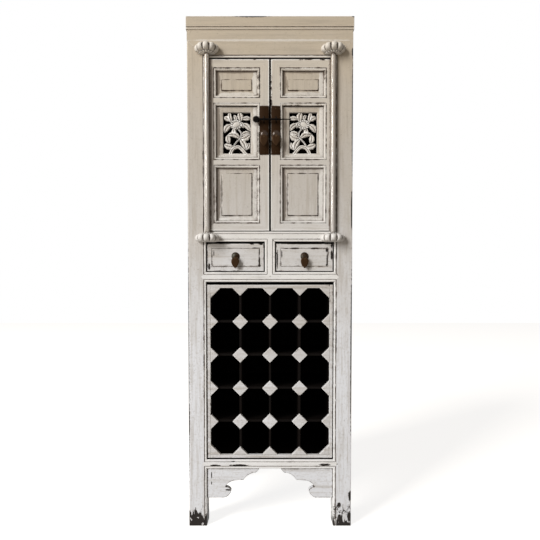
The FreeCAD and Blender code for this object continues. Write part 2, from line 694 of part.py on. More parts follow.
def carving(window):
    """Flower, leaves, stems and arched root of the pierced panel, as one flat openwork solid."""
    x0, x1, z0, z1 = window
    span = math.sqrt((x1 - x0) * (z1 - z0))

    def at(place):
        across, up = place
        return vec((x0 + x1) / 2 + across * (x1 - x0), 0, (z0 + z1) / 2 + up * (z1 - z0))

    flower = at(FLOWER_CENTRE)
    reach = FLOWER_HEART * span
    wires = []
    for i in range(PETAL_COUNT):
        angle = 2 * math.pi * i / PETAL_COUNT
        way = vec(math.cos(angle), 0, math.sin(angle))
        middle = flower + way * reach
        half = way * (PETAL_LENGTH * span / 2)
        wires.append(leaf_shape(middle - half, middle + half, PETAL_WIDTH * span))
    for foot, tip, width in LEAVES:
        wires.append(leaf_shape(at(foot), at(tip), width * span))
    for start, end, bulge, width in STEMS:
        wires.append(stem_shape(at(start), at(end), bulge, width * span))
    front = LEAF_FRONT + CARVED_SETBACK
    heart = bar(2 * reach, vec(flower.x, front, flower.z), CARVING_DEPTH, vec(0, 1, 0))
    pieces = [extrude_back(wire, front, front + CARVING_DEPTH) for wire in wires]
    return heart.multiFuse(pieces).common(box(x0, x1, front, front + CARVING_DEPTH, z0, z1))


def carved_panel(opening):
    x0, x1, z0, z1 = opening
    g = DOOR_GROOVE
    front = LEAF_FRONT + CARVED_SETBACK
    back = LEAF_FRONT + PANEL_SETBACK + PANEL_THICKNESS
    window = (x0 + WINDOW_SIDE_MARGIN, x1 - WINDOW_SIDE_MARGIN,
              z0 + WINDOW_END_MARGIN - WINDOW_DROP, z1 - WINDOW_END_MARGIN - WINDOW_DROP)
    panel = box(x0, x1, front, back, z0, z1)
    tongue = box(x0 - g, x1 + g, LEAF_FRONT + PANEL_SETBACK, back, z0 - g, z1 + g)
    border = panel.fuse(tongue).cut(box(window[0], window[1], front, back, window[2], window[3]))
    return border.fuse(carving(window)).removeSplitter()


def pull_boss(x, face_y, z):
    """A low dome with two lugs that hold the pin of the drop."""
    r = BOSS_DIAMETER / 2
    rise = BOSS_HEIGHT - BOSS_BASE
    base = bar(BOSS_DIAMETER, vec(0, face_y, 0), BOSS_BASE, vec(0, -1, 0))
    ball_radius = (r * r + rise * rise) / (2 * rise)
    ball = Part.makeSphere(ball_radius, vec(0, face_y - BOSS_HEIGHT + ball_radius, 0))
    cap = ball.common(box(-r, r, face_y - BOSS_HEIGHT, face_y - BOSS_BASE, -r, r))
    dome = base.fuse(cap)
    pin_y = face_y - PULL_PIN_FORWARD
    pin_z = -PULL_PIN_DROP
    slot = PULL_EYE_WIDTH / 2 + PULL_LUG_GAP
    room = PULL_EYE_DIAMETER / 2 + PULL_EYE_ROOM
    dome = dome.cut(box(-slot, slot, pin_y - room, pin_y + room, pin_z - room, pin_z + room))
    lug_radius = PULL_LUG_DIAMETER / 2
    outer = slot + PULL_LUG_THICKNESS
    lug = box(slot, outer, pin_y, face_y - BOSS_BASE / 2, pin_z - lug_radius, pin_z + lug_radius)
    lug = lug.fuse(bar(2 * lug_radius, vec(slot, pin_y, pin_z), PULL_LUG_THICKNESS, vec(1, 0, 0)))
    pin = bar(PULL_PIN_DIAMETER, vec(-outer, pin_y, pin_z), 2 * outer, vec(1, 0, 0))
    boss = dome.multiFuse([lug, mirrored(lug), pin]).removeSplitter()
    boss.translate(vec(x, 0, z))
    return boss


def pull_drop(x, face_y, z):
    """A heart-shaped leaf that hangs from the pin of its boss by an eye."""
    half = LEAF_WIDTH / 2
    pin_y = face_y - PULL_PIN_FORWARD
    eye_start = vec(-PULL_EYE_WIDTH / 2, pin_y, 0)
    eye = bar(PULL_EYE_DIAMETER, eye_start, PULL_EYE_WIDTH, vec(1, 0, 0))
    bridge = box(-PULL_EYE_WIDTH / 2, PULL_EYE_WIDTH / 2, pin_y - LEAF_FORWARD - LEAF_THICKNESS, pin_y,
                 -PULL_EYE_DIAMETER / 2, 0)

    right = bulged_edges([(half * across, LEAF_LENGTH * down, bulge) for across, down, bulge in LEAF_OUTLINE])
    left = [mirrored(edge) for edge in reversed(right)]
    wire = Part.Wire(Part.__sortEdges__(right + left))
    leaf = extrude_back(wire, pin_y - LEAF_FORWARD - LEAF_THICKNESS, pin_y - LEAF_FORWARD)
    bore = PULL_PIN_DIAMETER + 2 * PULL_PIN_CLEARANCE
    drop = leaf.multiFuse([eye, bridge]).cut(bar(bore, eye_start, PULL_EYE_WIDTH, vec(1, 0, 0)))
    drop.translate(vec(x, 0, z - PULL_PIN_DROP))
    return drop


def staple():
    """An arched rod on the right plate, that the lock pin passes through."""
    legs = []
    for side in (-1, 1):
        start = vec(STAPLE_X, PIN_Y, PIN_Z + side * STAPLE_RADIUS)
        legs.append(bar(STAPLE_ROD, start, PLATE_FRONT - PIN_Y, vec(0, 1, 0)))
    arch = Part.makeTorus(STAPLE_RADIUS, STAPLE_ROD / 2, vec(STAPLE_X, PIN_Y, PIN_Z), vec(1, 0, 0))
    reach = STAPLE_RADIUS + STAPLE_ROD
    arch = arch.common(box(STAPLE_X - reach, STAPLE_X + reach, PIN_Y - reach, PIN_Y,
                           PIN_Z - reach, PIN_Z + reach))
    return arch.multiFuse(legs).removeSplitter()


def build_doors():
    shaft = pole()
    blank = leaf_blank().cut(shaft)
    meeting, hinge, rails = leaf_outlines()
    lower_opening, carved_opening, top_opening = panel_openings()
    flat = [fielded_panel(lower_opening), fielded_panel(top_opening, TOP_FIELD_DROP)]
    carved = carved_panel(carved_opening)
    blank = cut_all(blank, flat + [carved])
    stiles = [blank.common(prism(outline, LEAF_FRONT, LEAF_BACK)) for outline in (meeting, hinge)]
    cross = [blank.common(prism(outline, LEAF_FRONT, LEAF_BACK)) for outline in rails]
    plate = box(PLATE_GAP / 2, PLATE_GAP / 2 + PLATE_WIDTH, PLATE_FRONT, LEAF_FRONT,
                PLATE_Z0, PLATE_Z0 + PLATE_HEIGHT)
    boss = pull_boss(STAPLE_X, PLATE_FRONT, PLATE_Z0 + DOOR_BOSS_RISE)
    drop = pull_drop(STAPLE_X, PLATE_FRONT, PLATE_Z0 + DOOR_BOSS_RISE)
    nodes = {
        "pivot_pole": [shaft],
        "door_stiles": stiles,
        "door_rails": cross,
        "flat_panels": flat,
        "carved_panel": [carved],
        "lock_plate": [plate],
        "lock_staple": [staple()],
        "door_pull_boss": [boss],
        "door_pull_drop": [drop],
    }
    for name, pieces in nodes.items():
        save("right_" + name, *pieces)
        save("left_" + name, *[mirrored(piece) for piece in pieces])


def facet_ring(x, radius):
    points = []
    for i in range(PIN_HEAD_SIDES + 1):
        angle = 2 * math.pi * (i + 0.5) / PIN_HEAD_SIDES
        points.append(vec(x, PIN_Y + radius * math.cos(angle), PIN_Z + radius * math.sin(angle)))
    return Part.makePolygon(points)


def build_lock_pin():
    """The pin in two halves, cut where the doors meet: the headed half and the pointed half."""
    head_end = -PIN_HEAD_START
    r = PIN_HEAD_DIAMETER / 2
    rings = [facet_ring(head_end - share * PIN_HEAD_DIAMETER, r * size) for share, size in PIN_HEAD_SHAPE]
    head = Part.makeLoft(rings, True, True)
    shank = bar(PIN_DIAMETER, vec(head_end, PIN_Y, PIN_Z), PIN_HEAD_START - PIN_HALF_GAP, vec(1, 0, 0))
    save("lock_pin", head.fuse(shank))
    start = vec(PIN_HALF_GAP, PIN_Y, PIN_Z)
    reach = PIN_POINT_REACH - PIN_HALF_GAP
    point = Part.makeCone(PIN_DIAMETER / 2, PIN_POINT_DIAMETER / 2, reach, start, vec(1, 0, 0))
    save("lock_pin_point", point)


# Drawers
def drawer_front(x0, x1, z0, z1):
    """The show front, with a grooved line that marks a field inside its edges."""
    y0 = DRAWER_SETBACK
    front = box(x0, x1, y0, y0 + DRAWER_FRONT_THICKNESS, z0, z1)
    i = DRAWER_FIELD_INSET
    line = DRAWER_FIELD_LINE
    outer = box(x0 + i, x1 - i, y0, y0 + line, z0 + i, z1 - i)
    i += line
    groove = outer.cut(box(x0 + i, x1 - i, y0, y0 + line, z0 + i, z1 - i))
    return front.cut(groove)


def build_drawers():
    x0 = MULLION_WIDTH / 2 + DRAWER_SIDE_GAP
    x1 = INNER - DRAWER_SIDE_GAP
    z0 = DRAWER_Z0 + DRAWER_BOTTOM_GAP
    z1 = DRAWER_Z1 - DRAWER_TOP_GAP
    back = DRAWER_SETBACK + DRAWER_FRONT_THICKNESS
    end = REAR_Y - DRAWER_BACK_SPACE
    front = drawer_front(x0, x1, z0, z1)
    floor = DRAWER_Z0 + DRAWER_RUN_GAP
    top = DRAWER_Z1 - DRAWER_BOX_TOP_GAP
    side = box(x0, x0 + DRAWER_SIDE, back, end, floor, top)
    other = box(x1 - DRAWER_SIDE, x1, back, end, floor, top)
    inner_x0 = x0 + DRAWER_SIDE
    inner_x1 = x1 - DRAWER_SIDE
    bottom_z1 = floor + 2 * DRAWER_BOTTOM
    bottom = box(inner_x0, inner_x1, back, end, floor + DRAWER_BOTTOM, bottom_z1)
    rear = box(inner_x0, inner_x1, end - DRAWER_SIDE, end, bottom_z1, top)
    middle_x = (x0 + x1) / 2
    middle_z = (z0 + z1) / 2 + DRAWER_BOSS_RISE
    nodes = {
        "drawer_front": [front],
        "drawer_box": [side, other, bottom, rear],
        "drawer_pull_boss": [pull_boss(middle_x, DRAWER_SETBACK, middle_z)],
        "drawer_pull_drop": [pull_drop(middle_x, DRAWER_SETBACK, middle_z)],
    }
    for name, pieces in nodes.items():
        save("right_" + name, *pieces)
        save("left_" + name, *[mirrored(piece) for piece in pieces])
    half = MULLION_WIDTH / 2
    divider = box(-half, half, RAIL_DEPTH, REAR_Y, DRAWER_Z0, DOOR_Z0 - BOARD_THICKNESS)
    guide = box(INNER, INNER + GUIDE_WIDTH, POST_DEPTH, DEPTH - POST_DEPTH,
                DRAWER_Z0, DRAWER_Z0 + GUIDE_HEIGHT)
    save("drawer_guides", divider, guide, mirrored(guide))


# Bottle rack
def build_rack():
    x1 = INNER - RACK_SIDE_GAP
    z0 = RACK_Z0 + RACK_BOTTOM_GAP
    z1 = RACK_Z1 - RACK_TOP_GAP
    y0 = RACK_SETBACK
    y1 = y0 + RACK_FRAME_THICKNESS
    y2 = REAR_Y - RACK_BACK_SPACE
    w = RACK_FRAME_WIDTH
    clear_x = x1 - w
    clear_z0 = z0 + w
    clear_z1 = z1 - w
    stiles = [box(-x1, -clear_x, y0, y1, z0, z1), box(clear_x, x1, y0, y1, z0, z1)]
    rails = [box(-clear_x, clear_x, y0, y1, z0, clear_z0), box(-clear_x, clear_x, y0, y1, clear_z1, z1)]
    save("rack_frame", *stiles, *rails)

    columns = [-clear_x + 2 * clear_x * i / RACK_COLUMNS for i in range(RACK_COLUMNS + 1)]
    rows = [clear_z0 + (clear_z1 - clear_z0) * i / RACK_ROWS for i in range(RACK_ROWS + 1)]
    half = RACK_BOARD / 2
    shelves = [box(-x1, x1, y1, y2, z - half, z + half) for z in rows[1:-1]]
    save("rack_shelves", *shelves)
    uprights = []
    for i in range(RACK_ROWS):
        low = z0 if i == 0 else rows[i] + half
        high = z1 if i == RACK_ROWS - 1 else rows[i + 1] - half
        for x in columns[1:-1]:
            uprights.append(box(x - half, x + half, y1, y2, low, high))
        side = box(x1 - RACK_BOARD, x1, y1, y2, low, high)
        uprights += [side, mirrored(side)]
    save("rack_uprights", *uprights)

    d = DIAMOND_SIZE / 2
    diamonds = []
    for x in columns[1:-1]:
        for z in rows[1:-1]:
            diamonds.append(prism([(x - d, z), (x, z + d), (x + d, z), (x, z - d)], y0, y1))
    blocks = []
    for z in rows[1:-1]:
        triangle = prism([(clear_x, z - d), (clear_x - d, z), (clear_x, z + d)], y0, y1)
        blocks += [triangle, mirrored(triangle)]
    for x in columns[1:-1]:
        blocks.append(prism([(x - d, clear_z0), (x + d, clear_z0), (x, clear_z0 + d)], y0, y1))
        blocks.append(prism([(x - d, clear_z1), (x + d, clear_z1), (x, clear_z1 - d)], y0, y1))
    c = CORNER_LEG
    for z, way in [(clear_z0, 1), (clear_z1, -1)]:
        corner = prism([(clear_x, z), (clear_x - c, z), (clear_x, z + way * c)], y0, y1)
        blocks += [corner, mirrored(corner)]
    save("rack_blocks", *diamonds, *blocks)


carcass_posts = build_carcass()
build_boards(carcass_posts)
build_top()
build_apron()
build_brackets()
build_doors()
build_lock_pin()
build_drawers()
build_rack()
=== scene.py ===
import json
import math

import bmesh
import bpy
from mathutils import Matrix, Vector, noise


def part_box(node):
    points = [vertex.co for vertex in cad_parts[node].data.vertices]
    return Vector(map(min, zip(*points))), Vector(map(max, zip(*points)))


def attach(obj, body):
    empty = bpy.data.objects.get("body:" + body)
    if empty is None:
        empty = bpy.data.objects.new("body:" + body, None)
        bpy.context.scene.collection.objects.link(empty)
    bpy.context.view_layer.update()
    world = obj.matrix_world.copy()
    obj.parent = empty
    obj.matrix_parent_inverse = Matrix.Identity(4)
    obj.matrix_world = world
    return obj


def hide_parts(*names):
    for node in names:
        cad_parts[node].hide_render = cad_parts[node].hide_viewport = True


# Tall painted cabinet with pivot-hung doors, drawers and a bottle rack.
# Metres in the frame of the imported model: X across the front, Y from the front to the back, Z up.

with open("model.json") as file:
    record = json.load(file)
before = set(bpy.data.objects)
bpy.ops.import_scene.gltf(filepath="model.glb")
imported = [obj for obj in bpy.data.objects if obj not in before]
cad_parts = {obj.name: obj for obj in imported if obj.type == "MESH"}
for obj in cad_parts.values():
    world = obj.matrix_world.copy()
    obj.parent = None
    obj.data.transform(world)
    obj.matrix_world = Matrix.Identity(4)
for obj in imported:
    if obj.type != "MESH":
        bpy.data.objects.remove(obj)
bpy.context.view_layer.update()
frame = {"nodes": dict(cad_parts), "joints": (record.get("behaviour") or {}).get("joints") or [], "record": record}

MM = 0.001
NODES = frame["nodes"]
BODY_OF = {}
for body_name, members in frame["record"]["behaviour"]["bodies"].items():
    for member in members:
        BODY_OF[member] = body_name

# Where the posts, the rails and the back lie
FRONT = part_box("right_front_post")[0].y
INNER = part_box("right_front_post")[0].x
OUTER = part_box("right_front_post")[1].x
FRAME_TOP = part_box("right_front_post")[1].z
DOORS_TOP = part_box("top_rail")[0].z
RACK_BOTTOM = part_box("bottom_rail")[1].z
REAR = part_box("back_panels")[0].y
SIDE_INSIDE = OUTER - 13.5 * MM
BACK_OUTSIDE = REAR + 9.0 * MM

# The bead along the posts and the top rail beside the doors, and the middle of the groove next to it
BEAD_WIDTH = 7.8 * MM
QUIRK_MIDDLE = 7.1 * MM
# How far behind the front of the posts painted spots reach, and over what depth they fade
SPOT_DEPTH = 6.0 * MM
SPOT_FADE = 2.5 * MM
# The same for the flat of a carved panel, and where painted shade on the carving's ground begins and becomes full
FLAT_DEPTH = 3.8 * MM
FLAT_FADE = 0.6 * MM
GROUND_DEPTH = 6.6 * MM
GROUND_FADE = 2.6 * MM

# Camera
CAMERA_PLACE = (0.0, -1.828, 0.8275)
CAMERA_TILT = 88.29
CAMERA_LENS = 31.09
CAMERA_SENSOR = 36.0
CAMERA_SHIFT = 0.0722

# Light: one large soft lamp and a dim warm surround
LAMP_PLACE = (-10.4, -9.7, 7.6)
LAMP_TARGET = (0.0, -0.18, 0.9)
LAMP_SIZE = (4.6, 10.0)
LAMP_POWER = 3060.0
LAMP_COLOUR = (1.0, 1.0, 0.99)
SURROUND_COLOUR = (1.0, 0.85, 0.68)
SURROUND_STRENGTH = 0.12
FLOOR_COLOUR = (0.55, 0.52, 0.48)
FLOOR_GLOW = 0.85
FLOOR_REACH = 12.0

# Colours, linear
WHITE = (1.0, 1.0, 1.0)
# Painted shading by height: the paint is darker and warmer at the top, paler and colder at the feet
PAINT_TOP = (0.480, 0.407, 0.312)
PAINT_MIDDLE = (0.502, 0.465, 0.423)
PAINT_LOW = (0.742, 0.750, 0.782)
# Thin paint; runs on the poles and the rack darken towards it, part grime and part painted shade
PAINT_THIN_AND_SHADE = (0.350, 0.300, 0.240)
# Pale paint of rubbing, also used as painted highlight on edges, beads and in spots
PAINT_RUBBED_AND_HIGHLIGHT = (0.880, 0.862, 0.835)
# Bare wood where paint is lost, also used for dark lines in grooves and the gaps inside as painted shade
BARE_WOOD_AND_SHADE = (0.0080, 0.0050, 0.0036)
# Brown glazing, also the colour of painted shade in hollows and of painted shadows
GLAZE_AND_SHADE_COLOUR = (0.078, 0.049, 0.032)
# Bare wood inside the cabinet: dark wood made near black as painted shade; the dim and faint tones are darker
# painted-shade copies for the rack's uprights and shelves
DARK_WOOD_AND_SHADE = (0.0022, 0.0014, 0.0011)
DARK_WOOD_LIGHT = (0.0080, 0.0042, 0.0028)
DARK_WOOD_DIM = (0.0044, 0.0023, 0.0015)
DARK_WOOD_FAINT = (0.0034, 0.0020, 0.0015)
BACK_WOOD = (0.060, 0.034, 0.021)
BRONZE = (0.022, 0.0098, 0.0034)
BRONZE_WORN = (0.036, 0.018, 0.0080)
BRONZE_BLACK = (0.0034, 0.0024, 0.0019)
# Bronze paled on edges by wear, also a painted highlight
BRONZE_RUBBED_AND_HIGHLIGHT = (0.160, 0.105, 0.058)
BRONZE_PATINA = (0.085, 0.088, 0.072)

# Edges that turn more than the first angle are rounded, more than the second shaded as sharp,
# and less than the third taken out
SHARP_EDGE = math.radians(28)
SHARP_SHADE = math.radians(35)
FLAT_JOINT = math.radians(0.4)
# Radii of rounded edges
MITRE_ROUND = 0.2 * MM
FRIEZE_ROUND = 0.4 * MM
BOSS_ROUND = 0.4 * MM
PIN_ROUND = 0.5 * MM
PLATE_ROUND = 0.7 * MM
BOARD_ROUND = 0.8 * MM
PANEL_ROUND = 1.0 * MM
RAIL_ROUND = 1.2 * MM
APRON_ROUND = 1.4 * MM
BLOCK_ROUND = 1.5 * MM
POST_CORNER_ROUND = 4.5 * MM
# Points nearer than this are one
WELD = 0.001 * MM
GLUE = 0.002 * MM
# Joint faces of a door frame are deeper than this
JOINT_DEPTH = 20.0 * MM

# Waves of the grain per metre along each axis, by the way it runs
GRAIN_STRETCH = {"x": (5.0, 95.0, 95.0), "y": (95.0, 5.0, 95.0), "z": (95.0, 95.0, 5.0)}

# What the pieces are made of
PAINTED = "painted_wood"
BARE = "dark_wood"
METAL = "dark_bronze"


class Tree:
    """A node tree that is built up call by call. Inputs are sockets, numbers or colours."""

    def __init__(self, owner):
        owner.use_nodes = True
        self.owner = owner
        self.tree = owner.node_tree
        self.tree.nodes.clear()

    def feed(self, socket, value):
        if isinstance(value, bpy.types.NodeSocket):
            self.tree.links.new(value, socket)
        elif socket.type == "RGBA":
            socket.default_value = (*value, 1.0)
        else:
            socket.default_value = value

    def node(self, kind, inputs=None, **settings):
        made = self.tree.nodes.new("ShaderNode" + kind)
        for key, value in settings.items():
            setattr(made, key, value)
        for key, value in (inputs or {}).items():
            self.feed(made.inputs[key], value)
        return made

    def calc(self, operation, a, b=0.0):
        return self.node("Math", {0: a, 1: b}, operation=operation).outputs[0]

    def joined(self, operation, values):
        found = values[0]
        for value in values[1:]:
            found = self.calc(operation, found, value)
        return found

    def most(self, *values):
        return self.joined("MAXIMUM", values)

    def product(self, *values):
        return self.joined("MULTIPLY", values)

    def total(self, *values):
        return self.joined("ADD", values)

    def less(self, a, b):
        return self.calc("SUBTRACT", a, b)

    def size(self, value):
        return self.calc("ABSOLUTE", value)

    def about(self, value, middle, amount):
        """How far the value is above its middle, times the amount."""
        return self.product(self.less(value, middle), amount)

    def step(self, value, low, high):
        """0 below low, 1 above high, smooth between them; the other way round when low is above high."""
        inputs = {"Value": value, "From Min": low, "From Max": high}
        return self.node("MapRange", inputs, interpolation_type="SMOOTHSTEP").outputs["Result"]

    def mix(self, amount, a, b):
        return self.node("Mix", {0: amount, 6: a, 7: b}, data_type="RGBA").outputs[2]


class Surface(Tree):
    """A material that is laid out in the coordinates of the frame."""

    def __init__(self, name):
        super().__init__(bpy.data.materials.new(name))
        self.place = self.node("TexCoord").outputs["Object"]
        self.x, self.y, self.z = self.node("SeparateXYZ", {"Vector": self.place}).outputs

    def noise(self, stretch, detail=4.0, roughness=0.55, shift=0.0):
        """Noise with this many waves per metre along each axis."""
        moved = {"Vector": self.place, "Scale": stretch, "Location": (shift, shift, shift)}
        where = self.node("Mapping", moved).outputs["Vector"]
        inputs = {"Vector": where, "Scale": 1.0, "Detail": detail, "Roughness": roughness}
        return self.node("TexNoise", inputs).outputs[0]

    def hollows(self, distance, own=False):
        """How much the walls within this distance, or only the piece's own, close in on the surface."""
        around = self.node("AmbientOcclusion", {"Distance": distance}, samples=8, only_local=own)
        return self.less(1.0, around.outputs["AO"])

    def edges(self, distance):
        """How near an outer edge of the piece is: about a half on the edge, nothing at this distance."""
        settings = {"samples": 8, "inside": True, "only_local": True}
        shut = self.node("AmbientOcclusion", {"Distance": distance}, **settings)
        return self.less(1.0, shut.outputs["AO"])

    def line(self, off, width):
        """1 where the distance off a line is less than this half width."""
        return self.step(self.less(self.size(off), width), 0.0004, -0.0003)

    def outline(self, rectangle, width):
        """A line round a rectangle on both doors: middle and half size in X and Z, millimetres."""
        middle_x, middle_z, half_x, half_z = (v * MM for v in rectangle)
        beside = self.size(self.less(self.size(self.x), middle_x))
        above = self.size(self.less(self.z, middle_z))
        return self.line(self.most(self.less(beside, half_x), self.less(above, half_z)), width)

    def spots(self, places, ragged, reach):
        """Ragged spots on the front: middle and half size in X and Z, millimetres, and strength."""
        uneven = self.about(ragged, 0.5, 4.0 * reach)
        found = []
        for x, z, half_x, half_z, strength in places:
            across = self.calc("DIVIDE", self.less(self.x, x * MM), half_x * MM)
            up = self.calc("DIVIDE", self.less(self.z, z * MM), half_z * MM)
            far = self.total(self.product(across, across), self.product(up, up), uneven)
            found.append(self.product(self.step(far, 1.1, 0.7), strength))
        shallow = self.step(self.y, FRONT + SPOT_DEPTH + SPOT_FADE, FRONT + SPOT_DEPTH)
        return self.product(self.most(*found), shallow)

    def finish(self, colour, roughness, height, bump, shine, metal=0.0):
        """Principled surface with bump of this many metres from a height between 0 and 1."""
        lifted = self.node("Bump", {"Height": height, "Distance": bump, "Strength": 1.0})
        inputs = {"Base Color": colour, "Roughness": roughness, "Normal": lifted.outputs["Normal"],
                  "Specular IOR Level": shine, "Metallic": metal}
        surface = self.node("BsdfPrincipled", inputs)
        self.node("OutputMaterial", {"Surface": surface.outputs["BSDF"]})
        return self.owner


def even(rate):
    return (rate, rate, rate)


def scaled(values, amount):
    return tuple(amount * v for v in values)


def interior(s):
    """1 on surfaces inside the cabinet, which were never painted. It begins just behind the front, so
    that it also paints the gaps round the doors and drawers dark, a painted shade.
    """
    half = s.size(s.x)
    between_posts = s.product(s.step(half, INNER + 0.0012, INNER + 0.0006),
                              s.step(s.y, FRONT + 0.0025, FRONT + 0.0045))
    between_sides = s.product(s.step(half, SIDE_INSIDE, SIDE_INSIDE - 0.0005),
                              s.step(s.y, FRONT + 0.034, FRONT + 0.036))
    within = s.product(s.step(s.z, RACK_BOTTOM - 0.004, RACK_BOTTOM - 0.003),
                       s.step(s.z, FRAME_TOP, FRAME_TOP - 0.001),
                       s.step(s.y, REAR + 0.020, REAR + 0.018))
    return s.product(s.most(between_posts, between_sides), within)


def carved_flat(s):
    """1 on the flat of a carved panel, nothing on the carving behind it."""
    return s.step(s.y, FRONT + FLAT_DEPTH + FLAT_FADE, FRONT + FLAT_DEPTH)


def from_doors(s, grain):
    """How far out from the opening of the doors a place on an upright or level board is."""
    return s.less(s.size(s.x), INNER) if grain == "z" else s.less(s.z, DOORS_TOP)


def foot_wear(s):
    """Paint lost at the feet in upright tongues on the left and in curls on the right."""
    tongues = s.noise((75.0, 75.0, 12.0), 4.0, 0.65, 9.0)
    islands = s.noise((70.0, 70.0, 45.0), 3.0, 0.6, 13.0)
    swirls = s.noise((95.0, 95.0, 80.0), 3.0, 0.6, 27.0)
    left = s.step(s.x, 0.0, -0.01)
    top = s.total(s.product(left, 0.034), 0.008, s.about(tongues, 0.45, 0.20))
    kept = s.product(s.step(islands, 0.60, 0.66), 0.9)
    lost = s.product(s.step(s.less(top, s.z), -0.002, 0.003), s.less(1.0, kept))
    curl = s.step(s.size(s.less(swirls, 0.5)), 0.045, 0.022)
    low = s.step(s.z, 0.082, 0.066)
    some = s.step(islands, 0.46, 0.56)
    return s.most(lost, s.product(curl, low, some, s.less(1.0, left)))


